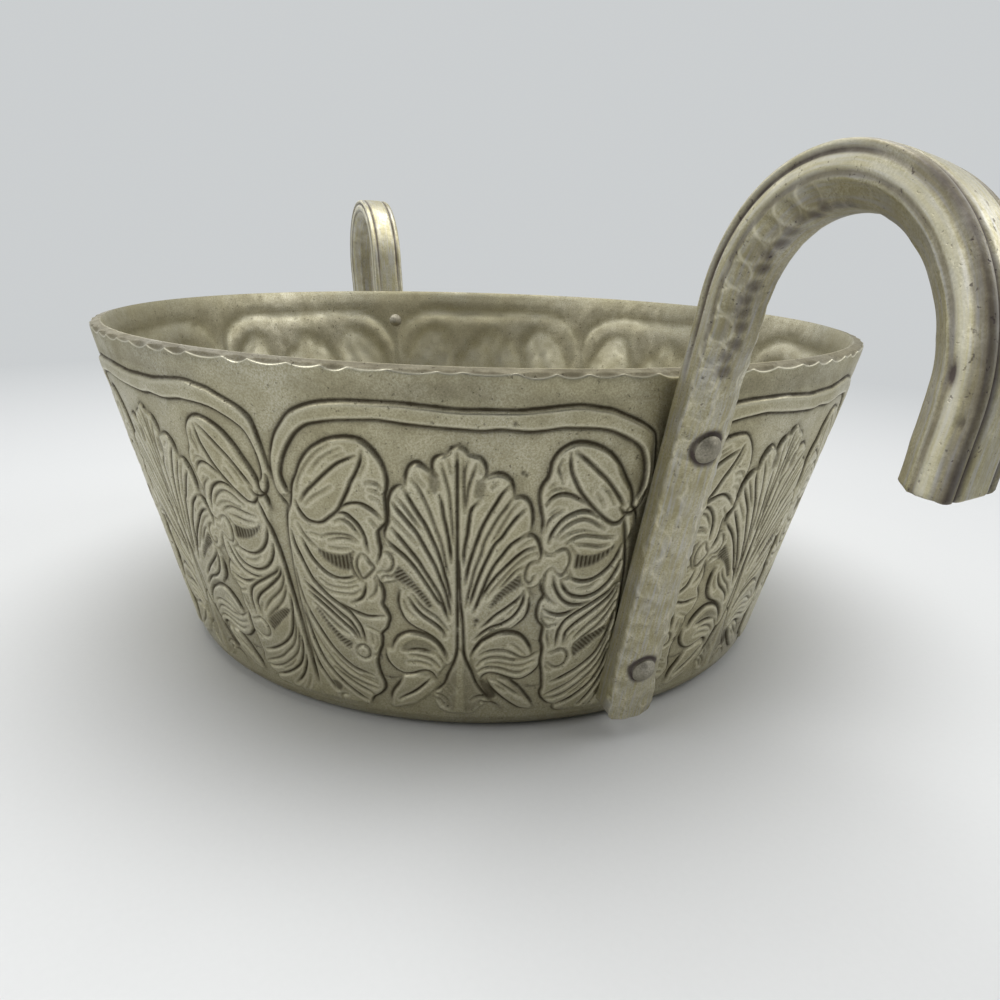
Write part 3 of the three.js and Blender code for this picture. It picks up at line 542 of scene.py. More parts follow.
FOOT_LEFT_TOP = [
    (-14.1, 44), (-14.6, 42), (-14.7, 39.7), (-14.2, 37.3), (-13.1, 35), (-11.1, 33.2), (-8.7, 32),
    (-6.7, 30.7), (-5.1, 29), (-3.7, 26.3), (-3.2, 24.7),
]
VOLUTE_LEFT_TOP = [
    (-17.4, 26), (-16.9, 27.7), (-15.7, 29.7), (-14.1, 31), (-12.1, 31.7), (-9.7, 31.5), (-7.4, 30.6),
    (-5.4, 28.7), (-4.1, 26.3), (-3.4, 23.7),
]
VOLUTE_LEFT_LOW = [
    (-19.2, 25), (-19.2, 23), (-18.4, 21), (-16.7, 19.2), (-14.7, 18.3), (-12.7, 18.5), (-10.7, 19.3),
    (-8.7, 19.8), (-7.1, 19), (-6.2, 17.3),
]
FOOT_LEAF_LEFT = [
    (DEEP, FOOT_LEFT_TOP),
    (FINE, [(-13.4, 41.3), (-12.7, 38.7), (-11.4, 36.7)]),
    (DEEP, [(-12.1, 42), (-10.7, 39.3), (-9.1, 37.3), (-7.1, 35.7), (-5.4, 34.3), (-4.1, 32.7),
            (-3.7, 31)]),
    (MEDIUM, [(-11.1, 43), (-9.4, 40.3), (-7.4, 38.3), (-5.7, 37), (-4.1, 34.7), (-3.1, 33)]),
    (DEEP, VOLUTE_LEFT_TOP),
    (DEEP, [(-6.4, 25.7), (-8.4, 26.3), (-10.7, 26.5), (-13.1, 26), (-14.4, 26)]),
    (MEDIUM, [(-12.7, 24.5), (-10.4, 24.5), (-8.1, 24), (-6.4, 22.7), (-5.4, 21.3)]),
    (FINE, [(-13.1, 22.3), (-10.4, 22.5), (-7.7, 21.7)]),
    (MEDIUM, [(-6.1, 25.7), (-4.7, 23.7), (-3.9, 21.7)]),
    (DEEP, VOLUTE_LEFT_LOW),
    (DEEP, [(-15.4, 16.7), (-16.7, 14.3), (-18.1, 12.3), (-18.9, 10.3), (-19.2, 8)]),
    (DEEP, [(-7.7, 17.3), (-9.1, 15.7), (-10.7, 14), (-12.7, 12.3), (-15.1, 10.7), (-16.4, 9.7)]),
    (FINE, [(-17.7, 6.3), (-15.1, 7.3), (-12.4, 8.3)]),
    (MEDIUM, [(-7.1, 12.7), (-5.1, 12), (-3.4, 10.3), (-3.1, 8.3)]),
    (FINE, [(-4.2, 16.6), (-2.8, 15.4), (-1.7, 13.6)]),
    (FINE, [(-4.8, 15.6), (-3.4, 14.5), (-2.3, 12.9)]),
    (FINE, [(-5.3, 14.4), (-4.1, 13.4), (-3.2, 12)]),
    (MEDIUM, [(-7.4, 11.3), (-5.4, 10.3), (-4.7, 8.7)]),
]

FOOT_RIGHT_TOP = [
    (16.3, 42.7), (16.4, 40), (15.8, 37.3), (14.3, 35.3), (12.9, 34),
]
VOLUTE_RIGHT_TOP = [
    (2.9, 25.3), (3.6, 27.3), (5.3, 29.7), (7.6, 31.3), (9.9, 32.5), (12.3, 32.8), (14.6, 32), (16.3, 30.3),
    (17.6, 28), (18.3, 26),
]
VOLUTE_RIGHT_LOW = [
    (5.4, 17.2), (5.9, 18.7), (7.6, 19.7), (9.9, 19.3), (12.3, 18.3), (14.6, 17.5), (16.6, 17.7),
    (18.6, 19), (20.3, 21), (20.8, 22.7),
]
FOOT_RIGHT_LOW = [
    (7.1, 17.7), (7.3, 17), (8.3, 15), (9.9, 13), (11.9, 11), (14.3, 9), (16.3, 7.7), (18.6, 7.2),
]
FOOT_LEAF_RIGHT = [
    (DEEP, [(14.8, 44.3), (13.3, 42.3), (10.9, 40), (8.6, 38), (6.6, 35.7), (5.3, 34.3)]),
    (DEEP, [(14.9, 45), (14.8, 42), (13.9, 39.3), (12.3, 37), (9.9, 35.3), (7.6, 34.3), (5.6, 32.7),
            (3.9, 30.7)]),
    (FINE, [(13.3, 40.7), (11.6, 38.3)]),
    (DEEP, FOOT_RIGHT_TOP),
    (FINE, [(15.6, 45.7), (17.3, 43)]),
    (DEEP, VOLUTE_RIGHT_TOP),
    (MEDIUM, [(5.3, 25.7), (6.9, 26.8), (9.3, 27.3), (11.6, 27), (13.6, 26), (15.6, 24.8), (17.3, 24.8),
              (18.9, 25.8), (20.6, 26.8)]),
    (MEDIUM, [(4.6, 22.3), (5.9, 24), (8.3, 25), (10.9, 24.8), (13.3, 24.2), (15.9, 24.2)]),
    (FINE, [(6.9, 22.8), (9.3, 23.2), (11.6, 22.7), (13.9, 22.2), (16.3, 22.3), (18.9, 23.5)]),
    (MEDIUM, [(4.8, 20.3), (6.3, 21.5), (8.6, 21.8), (10.9, 21.3), (13.3, 20.3), (15.6, 20), (17.6, 21)]),
    (DEEP, VOLUTE_RIGHT_LOW),
    (FINE, [(12.9, 29), (14.6, 27.7), (16.3, 25.7)]),
    (DEEP, FOOT_RIGHT_LOW),
    (DEEP, [(12.3, 18), (14.3, 16.3), (16.3, 14.3), (17.9, 12), (19.3, 10), (20.3, 7.7)]),
    (MEDIUM, [(9.3, 17.7), (11.6, 15.7), (13.9, 14), (16.3, 12)]),
    (FINE, [(9.6, 15.7), (11.9, 14)]),
    (FINE, [(16.6, 15.3), (18.3, 14.7), (20.6, 14.7), (21.9, 15.3)]),
    (DEEP, [(3.3, 10.7), (4.3, 11.7), (5.9, 12), (7.6, 11.3)]),
    (MEDIUM, [(5.3, 8.7), (5.6, 10), (7.6, 10), (9.9, 9), (11.6, 7.3)]),
    (FINE, [(12.6, 16.8), (14.6, 14.9), (16.9, 12.3), (18.2, 10.4)]),
]

# What stands up from the matted ground, by its outline.
LEFT_BORDER = [(-41.6, 3), (-41.6, 24), (-41.5, 44), (-41.1, 50), (-40.6, 56), (-40, 60), (-39.1, 62.3)]
RAISED = {
    "left_leaf": LEFT_BORDER + BUD_LEFT_EDGE + LEAF_LEFT_EDGE + [(-26, 5), (-30, 4)],
    "right_leaf": (
        [(41.6, 3), (40.9, 20), (40.4, 30), (39.7, 40), (38.9, 50), (37.8, 57), (39, 62)]
        + BUD_RIGHT_EDGE[::-1] + [(18.4, 52)] + LEAF_RIGHT_EDGE + [(26.3, 6.3), (28.3, 4), (33, 3)]
    ),
    "palmette": (
        [point for part in PALMETTE_LEFT_EDGE for point in part]
        + [(-16.2, 56), (-15.4, 54), (-15.2, 49), (-14.4, 46), (-14.3, 43)]
        + FOOT_LEFT_TOP[1:7] + [(-5.6, 28.8), (-3.6, 24), (-3.6, 22), (-1.2, 24), (-0.7, 27)]
        + [(0.9, 27), (2.2, 23), (3.1, 26), (5, 30.6), (9, 33.6)]
        + FOOT_RIGHT_TOP[::-1] + [(15.8, 45.5), (14.6, 47), (15, 50.5), (16.6, 52.6)]
        + [point for part in PALMETTE_RIGHT_EDGE[::-1] for point in part[::-1]]
    ),
    "left_knot": [(-18, 55), (-25, 53), (-25, 47), (-21, 45), (-17, 46), (-14, 48), (-15, 55)],
    "right_knot": [(18, 56.5), (14, 52), (13.8, 47), (17, 46), (20, 48.5), (25, 48), (25, 56), (21, 57)],
    "left_volute": (
        VOLUTE_LEFT_TOP + [(-3.9, 21.7), (-5, 20), (-6.2, 17.3)] + VOLUTE_LEFT_LOW[::-1]
    ),
    "right_volute": (
        VOLUTE_RIGHT_TOP + [(20.6, 26.8), (20.8, 22.7)] + VOLUTE_RIGHT_LOW[::-1] + [(3.9, 21)]
    ),
    "left_foot_leaf": [(-7, 17.6), (-10, 18.6), (-14.6, 17.6), (-16.7, 14.3), (-18.1, 12.3), (-18.9, 10.3),
                       (-19.2, 7), (-16, 6.5), (-12.4, 8.3), (-7.6, 12.9), (-6.2, 15)],
    "right_foot_leaf": FOOT_RIGHT_LOW + [(20.3, 7.7), (19.3, 10), (17.9, 12), (16.3, 14.3), (12.3, 17.6)],
    "frame": (
        FRAME_OUTER[3:] + [(40, 71), (39.4, 67.5), (37.9, 65.5), (36, 65.4)]
        + FRAME_INNER[::-1] + [(-40, 66.3)]
    ),
    "stem_foot": [(-0.7, 27), (-1.4, 23.3), (-2.2, 21), (-3.1, 18.7), (-4.1, 15.7), (-5.7, 14), (-7, 13),
                  (-6, 8), (-3, 6), (3, 6), (6, 9), (8.6, 10.3), (7.3, 11.7), (5.6, 14), (4.1, 16.7),
                  (3.1, 19.7), (1.9, 22.7), (1.1, 25.7)],
}

# Hollows filled with short bars by a matting punch: outline, spacing of the bars and their slant.
BARRED = [
    ([(-33.6, 53.7), (-31.7, 52.7), (-29.1, 52.2), (-26.4, 52.5), (-24.2, 53.7), (-25.1, 52), (-25.2, 48.7),
      (-27.1, 48.3), (-29.4, 49), (-31.4, 50.3), (-32.7, 52)], 0.95, 0),
    ([(-37.1, 35.3), (-35.7, 33), (-34.1, 30), (-32.4, 27.3), (-30.7, 25.3), (-29.1, 24), (-28.1, 26.3),
      (-30.1, 27.3), (-32.1, 29.3), (-34.1, 31.7), (-36.1, 35)], 0.95, -54),
    ([(-13.9, 51), (-12.4, 49.3), (-10.7, 47), (-9.1, 44.7), (-7.7, 42.7), (-6.6, 40), (-7.4, 39.7),
      (-9.1, 42.3), (-11.1, 44.7), (-13.1, 46.3), (-15.1, 47.7)], 0.95, -57),
    ([(25.9, 55), (27.6, 54.5), (29.6, 54.4), (31.6, 54.8), (33.6, 55.7), (35.3, 57.2), (34.3, 55.3),
      (32.6, 53.3), (30.6, 52), (28.3, 51.3), (25.9, 51.5)], 1.0, 0),
    ([(29.6, 23.7), (30.9, 25.3), (32.6, 26.8), (34.6, 28.7), (36.6, 30.7), (37.6, 32.3), (36.9, 32.8),
      (33.6, 31), (31.3, 29.6), (29.3, 27.7), (28.8, 26.7)], 1.0, 47),
    ([(13.4, 49.5), (11.6, 47.7), (9.6, 45.3), (7.9, 42.7), (6.9, 40), (7.6, 40.3), (9.3, 42.3), (11.6, 44.7),
      (13.9, 46.7)], 0.95, 56),
]

# Plain hollows pressed in beside the forms: outline, depth and darkness.
PRESSED = [
    ([(-5.6, 76.3), (-4.6, 75.6), (-4, 73.8), (-4.3, 71.9), (-4.9, 70.7), (-5.8, 71.9), (-6.2, 73.6),
      (-6.1, 75.2)], 0.35, 0.34),
    ([(5, 74.4), (5.3, 72.6), (5, 70.7), (4.3, 69.2), (3.3, 70.3), (3.1, 72.2), (3.6, 73.9),
      (4.4, 74.6)], 0.35, 0.34),
    ([(-15, 26.2), (-13.4, 28.3), (-11.4, 29.5), (-9.1, 29.3), (-7.1, 28), (-5.8, 26.4), (-8.4, 26.5),
      (-10.7, 26.7), (-13.1, 26.2)], 0.30, 0.32),
    ([(-0.8, 24), (-1.9, 20.5), (-3.2, 17.5), (-5, 14), (-6, 11), (-4, 8), (-1.5, 7), (-1, 12),
      (-0.8, 18)], 0.22, 0.30),
    ([(1.1, 24), (2.1, 21), (3.4, 18), (4.6, 15.2), (6.4, 12.3), (5.5, 9), (3, 7), (1.4, 7), (1.1, 12),
      (0.9, 18)], 0.22, 0.30),
    ([(4.9, 17), (6.7, 16.8), (9.7, 12.4), (8.4, 10.9), (6.9, 12.7)], 0.10, 0.60),
    ([(-36.6, 12.4), (-34.9, 12.2), (-33.4, 10.6), (-34.7, 8.8), (-35.8, 10)], 0.25, 0.80),
]

# Small pits and nicks in the front panel alone: place, radius and darkness.
PITS = [
    ((4.0, 36.4), 0.60, 1.0),
    ((3.7, 35.1), 0.35, 0.8),
    ((7.6, 33.4), 0.35, 0.9),
    ((8.2, 33.8), 0.30, 0.8),
    ((12.6, 76.0), 0.45, 0.7),
    ((13.3, 75.5), 0.35, 0.6),
    ((10.3, 87.8), 0.40, 0.6),
    ((-5.2, 87.4), 0.30, 0.5),
]

# Round berries and beads, as a centre and a radius.
BERRIES = [((-25.5, 23.8), 1.9), ((25.4, 24.1), 2.4), ((-21.8, 49.8), 1.9), ((-16.8, 51.8), 1.9),
           ((22.8, 53.0), 2.2), ((16.0, 50.6), 1.6)]

PANELS = 8
FRONT_PANEL_AZIMUTH = math.radians(-24.4)
RIM_RADIUS = 117.5
BOWL_HEIGHT = 95.5
FOOT_RADIUS = 94.2
WALL_LEAN = math.atan2(RIM_RADIUS - FOOT_RADIUS, BOWL_HEIGHT)
LIP_UP = BOWL_HEIGHT / math.cos(WALL_LEAN)
PANEL_HALF = math.pi / PANELS * (RIM_RADIUS + FOOT_RADIUS) / 2
DRAWING_STEP = 0.2
DRAWING_EDGE = PANEL_HALF + 2.5
FAR_FROM_LINES = 9.0

# A line is pressed in this lightly at its ends, and fully from this far on.
LIGHTEST_PRESS = 0.35
PRESS_RUN = 2.5

# Heights above the wall. A form swells like a cushion away from its lines, with a burr beside each line.
GROUND_LEVEL = 0.04
RAISED_LEVEL = 0.46
CUSHION_RISE = 0.32
CUSHION_WIDTH = 1.3
BURR_RISE = 0.05
BURR_PLACE = 0.85
BURR_WIDTH = 0.35
BERRY_RISE = 0.28
HATCH_DEPTH = 0.50
HATCH_BAR_RISE = 0.30
MOST_RELIEF = 0.78
SWELL_WIDTH = 1.6

# How softly the outlines of raised, pressed and barred areas start.
RAISED_EDGE = 0.28
PRESSED_EDGE = 0.22
BARRED_EDGE = 0.25

# Dirt: the depth of a line that is fully dark, the brightness of the hatched bars, and the dirt and
# painted shade that the ground keeps beside the lines.
DARK_DEPTH = 0.44
HATCH_BAR_SHINE = 0.66
GROUND_DIRT_AND_SHADE = 0.34
GROUND_DIRT_AND_SHADE_REACH = 1.1
GROUND_DIRT_AND_SHADE_END = 6.0


def bell(distance, half_width):
    return np.exp(-(distance / half_width) ** 2)


def flowing(points, spacing=0.25):
    """A smooth line through points, as close points about one spacing apart."""
    p = np.array(points, float)
    padded = np.vstack([2 * p[0] - p[1], p, 2 * p[-1] - p[-2]])
    runs = []
    for a, b, c, d in zip(padded, padded[1:], padded[2:], padded[3:]):
        count = int(np.hypot(*(c - b)) / spacing) + 1
        t = np.linspace(0, 1, count, endpoint=False)[:, None]
        runs.append(0.5 * (2 * b + (c - a) * t + (2 * a - 5 * b + 4 * c - d) * t ** 2
                           + (3 * b - a - 3 * c + d) * t ** 3))
    return np.vstack(runs + [p[-1:]])


def softened(field, width):
    """field blurred by a bell curve of that half width, in millimetres on the drawing."""
    reach = int(math.ceil(2.5 * width / DRAWING_STEP))
    taps = np.exp(-0.5 * (np.arange(-reach, reach + 1) * DRAWING_STEP / width) ** 2)
    taps /= taps.sum()
    for axis in (0, 1):
        padded = np.pad(field, [(reach, reach) if axis == i else (0, 0) for i in (0, 1)], mode="edge")
        size = field.shape[axis]
        field = sum(tap * np.take(padded, range(i, i + size), axis=axis) for i, tap in enumerate(taps))
    return field


class Drawing:
    """One panel's relief on a fine grid: heights above the wall in millimetres, and how dark it is from age
    and from painted shade beside the lines.
    """

    def __init__(self):
        self.across = np.arange(-DRAWING_EDGE, DRAWING_EDGE + DRAWING_STEP, DRAWING_STEP)
        self.up = np.arange(0, LIP_UP + 1, DRAWING_STEP)
        self.x, self.s = np.meshgrid(self.across, self.up, indexing="ij")
        self.cut = np.zeros_like(self.x)
        self.to_line = np.full_like(self.x, FAR_FROM_LINES)

    def window(self, points, margin):
        low, high = points.min(0) - margin, points.max(0) + margin
        return np.s_[np.searchsorted(self.across, low[0]):np.searchsorted(self.across, high[0]),
                     np.searchsorted(self.up, low[1]):np.searchsorted(self.up, high[1])]

    def chase(self, kind, points):
        """A line cut with a liner, which starts and ends lightly."""
        half_width, depth = kind
        line = flowing(points)
        run = np.concatenate([[0], np.cumsum(np.hypot(*np.diff(line, axis=0).T))])
        from_end = np.minimum(run, run[-1] - run)
        strength = LIGHTEST_PRESS + (1 - LIGHTEST_PRESS) * np.clip(from_end / PRESS_RUN, 0, 1)
        for start in range(0, len(line), 16):
            part = line[start:start + 17]
            press = strength[start:start + 17]
            area = self.window(part, 4.0)
            gap = (self.x[area][..., None] - part[:, 0]) ** 2 + (self.s[area][..., None] - part[:, 1]) ** 2
            nearest = gap.argmin(-1)
            gap = np.sqrt(gap.min(-1))
            felt = press[nearest]
            groove = depth * felt * bell(gap, half_width * (0.6 + 0.4 * felt))
            self.cut[area] = np.maximum(self.cut[area], groove)
            self.to_line[area] = np.minimum(self.to_line[area], gap)

    def inside(self, outline):
        """1 inside a closed outline, else 0."""
        points = flowing(list(outline) + [outline[0]], 0.8)
        found = np.zeros_like(self.x)
        area = self.window(points, 1.0)
        x, s = self.x[area], self.s[area]
        odd = np.zeros(x.shape, bool)
        for (x1, s1), (x2, s2) in zip(points, np.roll(points, -1, axis=0)):
            if s1 != s2:
                crosses = (s1 > s) != (s2 > s)
                odd ^= crosses & (x < (x2 - x1) * (s - s1) / (s2 - s1) + x1)
        found[area] = odd
        return found

    def finish(self):
        """Works out the height, the dirt and painted shade, the worn places and the swell behind, once all
        lines are cut.
        """
        raised = np.zeros_like(self.x)
        for outline in RAISED.values():
            raised = np.maximum(raised, softened(self.inside(outline), RAISED_EDGE))
        cushion = CUSHION_RISE * (1 - np.exp(-self.to_line / CUSHION_WIDTH))
        burr = raised * bell(self.to_line - BURR_PLACE, BURR_WIDTH)
        height = GROUND_LEVEL + raised * (RAISED_LEVEL - GROUND_LEVEL + cushion) + BURR_RISE * burr
        for (x, s), radius in BERRIES:
            gap = np.hypot(self.x - x, self.s - s) / radius
            height = height + BERRY_RISE * np.clip(1 - gap ** 2, 0, 1)
        dark = np.clip(self.cut / DARK_DEPTH, 0, 1) ** 1.5
        for outline, depth, dirt in PRESSED:
            bed = softened(self.inside(outline), PRESSED_EDGE)
            height = height - depth * bed
            dark = np.maximum(dark, dirt * bed)
        for outline, spacing, slant in BARRED:
            bed = softened(self.inside(outline), BARRED_EDGE)
            angle = math.radians(slant)
            along = self.x * math.cos(angle) + self.s * math.sin(angle)
            bar = 0.5 + 0.5 * np.cos(2 * math.pi * along / spacing)
            height = height - bed * (HATCH_DEPTH - HATCH_BAR_RISE * bar)
            dark = np.maximum(dark, bed * (1 - HATCH_BAR_SHINE * bar))
        # Painted shade, with some dirt, on the ground beside the lines: darker close to the raised forms.
        beside_lines = np.exp(-self.to_line / GROUND_DIRT_AND_SHADE_REACH) * (self.to_line < GROUND_DIRT_AND_SHADE_END)
        self.height = np.minimum(height - self.cut, MOST_RELIEF)
        self.dark = np.clip(dark + GROUND_DIRT_AND_SHADE * (1 - raised) * beside_lines, 0, 1)
        self.wear = burr * (1 - self.dark)
        self.swell = softened(np.maximum(self.height, -0.1), SWELL_WIDTH)

    def read(self, field, x, s):
        """field at places between the grid's points."""
        at_x = np.clip((x - self.across[0]) / DRAWING_STEP, 0, len(self.across) - 1.001)
        at_s = np.clip((s - self.up[0]) / DRAWING_STEP, 0, len(self.up) - 1.001)
        i, j = at_x.astype(int), at_s.astype(int)
        u, v = at_x - i, at_s - j
        low = (1 - v) * field[i, j] + v * field[i, j + 1]
        high = (1 - v) * field[i + 1, j] + v * field[i + 1, j + 1]
        return (1 - u) * low + u * high


drawing = Drawing()
for lines in (FRAME, BUD_LEFT, BUD_RIGHT, CALYX_LEFT, CALYX_RIGHT, LEAF_LEFT, LEAF_RIGHT, KNOT,
              PALMETTE_LEFT, PALMETTE_RIGHT, FOOT_LEAF_LEFT, FOOT_LEAF_RIGHT):
    for kind, points in lines:
        drawing.chase(kind, points)
drawing.finish()


# Bowl
# One thick disc of aluminium alloy, sunk and raised to a flat floor and a straight flaring wall, with the
# ornament chased into it. The lip is cut square to the wall and its outer edge hammered into facets.

MM = 0.001
SHEET = 3.2
HIP_RADIUS = 6.0
HIP_UP = HIP_RADIUS * math.tan((math.pi / 2 - WALL_LEAN) / 2)
HIP_CENTRE = FOOT_RADIUS - HIP_UP
FLOOR_RADIUS = 86.0
COLUMNS = 2080
WALL_ROWS = 284
LIP_ROWS = 11
INNER_ROWS = 50
PANEL_COLUMNS = COLUMNS // PANELS

# Up the wall: how far above the hip the relief has its full height, where the plain band starts, over
# how far it takes over from the relief, and where the lip starts.
RELIEF_GROWN = 2.0
BAND_FROM = 91.5
BAND_BLEND = 1.5
LIP_FROM = 94.0
LIP_FACETS = 92
FACET_DEPTH = 1.0
FACET_REACH = 0.38
LIP_SETBACK = 0.25
# The lip's top face is darkened, partly for dirt and partly as painted shade.
LIP_DIRT_AND_SHADE = 0.62

# Panels drift by this much. The drift dies out this near a seam, where both panels also run together.
DRIFT = 0.35
DRIFT_HELD = 5.0
SEAM_BLEND = 1.5
PIT_DEPTH = 0.35

# Inside, the swells stand by this much about their middle level, and stop this far from lip and hip.
INNER_SWELL = 1.9
INNER_LEVEL = 0.38
INNER_MARGIN = 6.0

# Painted shade on the outer foot where it turns down to the table, the same darkening round the floor's inner
# edge, dirt on the plain band and on the inner face, and darkening inside the hip.
FOOT_DARKENING = 0.25
BAND_DIRT = 0.13
INNER_DIRT = 0.12
INNER_HIP_DARKENING = 0.30
chance = np.random.default_rng(7)


def wandering(count, spots):
    """Smooth random numbers from -1 to 1 on a grid of COLUMNS round the bowl and count up the wall, drawn
    between that many spots round and up."""
    wide, tall = spots
    knots = chance.uniform(-1, 1, (wide, tall))
    x = np.arange(COLUMNS) / COLUMNS * wide
    s = np.linspace(0, tall - 1.001, count)
    i, j = x.astype(int), s.astype(int)
    u, v = x - i, s - j
    u, v = (u * u * (3 - 2 * u))[:, None], (v * v * (3 - 2 * v))[None, :]
    k = (i + 1) % wide
    a, b = knots[i][:, j], knots[k][:, j]
    c, d = knots[i][:, j + 1], knots[k][:, j + 1]
    return (1 - u) * ((1 - v) * a + v * c) + u * ((1 - v) * b + v * d)


def around_the_rim():
    """Each column's azimuth, and how far its lip is hammered down at the outer edge."""
    turn = np.arange(COLUMNS) / COLUMNS
    azimuth = FRONT_PANEL_AZIMUTH + 2 * math.pi * turn - math.pi / PANELS
    edges = (np.arange(LIP_FACETS + 1) + chance.uniform(-0.24, 0.24, LIP_FACETS + 1)) / LIP_FACETS
    edges[0], edges[-1] = 0.0, 1.0
    facet = np.clip(np.searchsorted(edges, turn, side="right") - 1, 0, LIP_FACETS - 1)
    within = (turn - edges[facet]) / (edges[facet + 1] - edges[facet])
    depths = FACET_DEPTH * chance.uniform(0.45, 1.1, LIP_FACETS)
    return azimuth, depths[facet] * (1 - (2 * within - 1) ** 2)


azimuth, lip_drop = around_the_rim()
panel_of = np.arange(COLUMNS) // PANEL_COLUMNS
panel_x = (np.arange(COLUMNS) % PANEL_COLUMNS) / PANEL_COLUMNS * 2 * PANEL_HALF - PANEL_HALF
wall_up = HIP_UP + (LIP_UP - HIP_UP) * np.linspace(0, 1, WALL_ROWS)


def worked(field, up, drift_x, drift_s):
    """A field of the drawing all round the wall. Panels drift a little, and meet their neighbours evenly."""
    x = np.repeat(panel_x[:, None], len(up), 1)
    s = np.repeat(np.asarray(up)[None, :], COLUMNS, 0)
    from_seam = PANEL_HALF - np.abs(x)
    hold = np.clip(from_seam / DRIFT_HELD, 0, 1)
    by_hand = np.where(panel_of == 0, 0.0, 1.0)[:, None] * hold
    x, s = x + by_hand * drift_x, s + by_hand * drift_s
    here = drawing.read(field, x, s)
    beside = drawing.read(field, x - 2 * PANEL_HALF * np.sign(x), s)
    share = 0.5 * np.clip(1 - from_seam / SEAM_BLEND, 0, 1)
    return np.where(share > 0, (1 - share) * here + share * beside, here)


def outer_face():
    """The relief, the dirt and painted shade, and the worn places of the wall's outer face, pits and plain
    band with them.
    """
    drift_x = DRIFT * wandering(WALL_ROWS, (56, 7))
    drift_s = DRIFT * wandering(WALL_ROWS, (48, 7))
    fade = np.clip((wall_up - HIP_UP) / RELIEF_GROWN, 0, 1)
    fields = (drawing.height, drawing.dark, drawing.wear)
    relief, dark, wear = (worked(field, wall_up, drift_x, drift_s) * fade for field in fields)
    front = (panel_of == 0)[:, None]
    for (x, s), radius, dirt in PITS:
        pit = np.exp(-((panel_x[:, None] - x) ** 2 + (wall_up[None, :] - s) ** 2) / radius ** 2) * front
        relief = relief - PIT_DEPTH * pit
        dark = np.maximum(dark, dirt * pit)
    dents = 0.07 * wandering(WALL_ROWS, (150, 22)) + 0.05 * wandering(WALL_ROWS, (260, 40))
    band = np.clip((wall_up - BAND_FROM) / BAND_BLEND, 0, 1)
    dark = dark + band * (BAND_DIRT + 0.12 * wandering(WALL_ROWS, (34, 30)))
    relief = (relief + 0.4 * dents) * (1 - band) + np.clip(dents - 0.05, -0.3, 0.0) * band
    return np.minimum(relief, MOST_RELIEF), dark, wear


def inner_face():
    """The wall's inner face from the lip down: places up and out, dirt and worn places. The raised forms
    show on it as soft swells, with their crests polished."""
    up = LIP_UP + (HIP_UP - LIP_UP) * np.linspace(0, 1, INNER_ROWS)
    swell = worked(drawing.swell, up, 0.0, 0.0)
    dents = 0.16 * wandering(INNER_ROWS, (96, 14)) + 0.08 * wandering(INNER_ROWS, (180, 26))
    amid = np.clip((LIP_UP - up) / INNER_MARGIN, 0, 1) * np.clip((up - HIP_UP) / INNER_MARGIN, 0, 1)
    out = -SHEET + amid * (INNER_SWELL * (swell - INNER_LEVEL) + dents)
    dark = INNER_DIRT + 0.6 * np.clip(0.45 - swell, 0, 1) * amid
    polish = amid * np.clip(2.2 * (swell - 0.40), 0, 0.8)
    return up[None, :], out, dark, polish


def ring_rows():
    """The bowl's wall as closed loops, one for each column, from under the floor round the lip to inside."""
    sin, cos = math.sin(WALL_LEAN), math.cos(WALL_LEAN)
    kept = [], [], [], []

    def add(radius, height, dark=0.0, wear=0.0):
        shape = np.broadcast_shapes(np.shape(radius), (COLUMNS, 1))
        for rows, values in zip(kept, (radius, height, dark, wear)):
            rows.append(np.broadcast_to(np.asarray(values, float), shape))

    def add_on_wall(up, out, dark, wear):
        add(FOOT_RADIUS + up * sin + out * cos, up * cos - out * sin, dark, wear)

    def add_hip(radius, turn, dark):
        add(HIP_CENTRE + radius * np.cos(turn), HIP_RADIUS + radius * np.sin(turn), dark)

    add(FLOOR_RADIUS, 0.0)
    # The outer foot, turning down towards the table, is darkened as painted shade.
    add_hip(HIP_RADIUS, np.linspace(-math.pi / 2, -WALL_LEAN, 12)[None, :-1], FOOT_DARKENING)

    relief, dark, wear = outer_face()
    near_lip = np.clip((wall_up - LIP_FROM) / (LIP_UP - LIP_FROM), 0, 1)
    # A bright line along the lip's outer edge: wear and a painted highlight.
    edge_wear_and_highlight = np.clip((near_lip - 0.92) / 0.08, 0, 1)[None, :]
    up = wall_up[None, :] - near_lip * lip_drop[:, None] / cos
    out = relief * (1 - near_lip ** 4) - LIP_SETBACK * near_lip ** 6
    add_on_wall(up, out, dark, np.maximum(0.45 * wear, edge_wear_and_highlight))

    inward = np.linspace(0, 1, LIP_ROWS + 2)[None, 1:-1]
    reach = FACET_REACH * (lip_drop[:, None] / FACET_DEPTH + 0.12)
    top = LIP_UP - lip_drop[:, None] * np.clip(1 - inward / reach, 0, 1) / cos
    rolled = 0.12 * (2 * inward - 1) ** 6
    # Lip rows: the top face darkened by dirt and painted shade, its outer edge brightened by wear and a
    # painted highlight.
    add_on_wall(top - rolled, -LIP_SETBACK - inward * (SHEET - 0.4), LIP_DIRT_AND_SHADE, bell(inward, 0.09))

    add_on_wall(*inner_face())
    add_hip(HIP_RADIUS - SHEET, np.linspace(-WALL_LEAN, -math.pi / 2, 9)[None, 1:], INNER_HIP_DARKENING)
    # The floor's inner edge is darkened by the same amount as the foot.
    add(FLOOR_RADIUS, SHEET, FOOT_DARKENING)

    radius, height, dark, wear = (np.concatenate(rows, 1) for rows in kept)
    turn = azimuth[:, None]
    return np.stack([radius * np.cos(turn), radius * np.sin(turn), height], -1) * MM, dark, wear


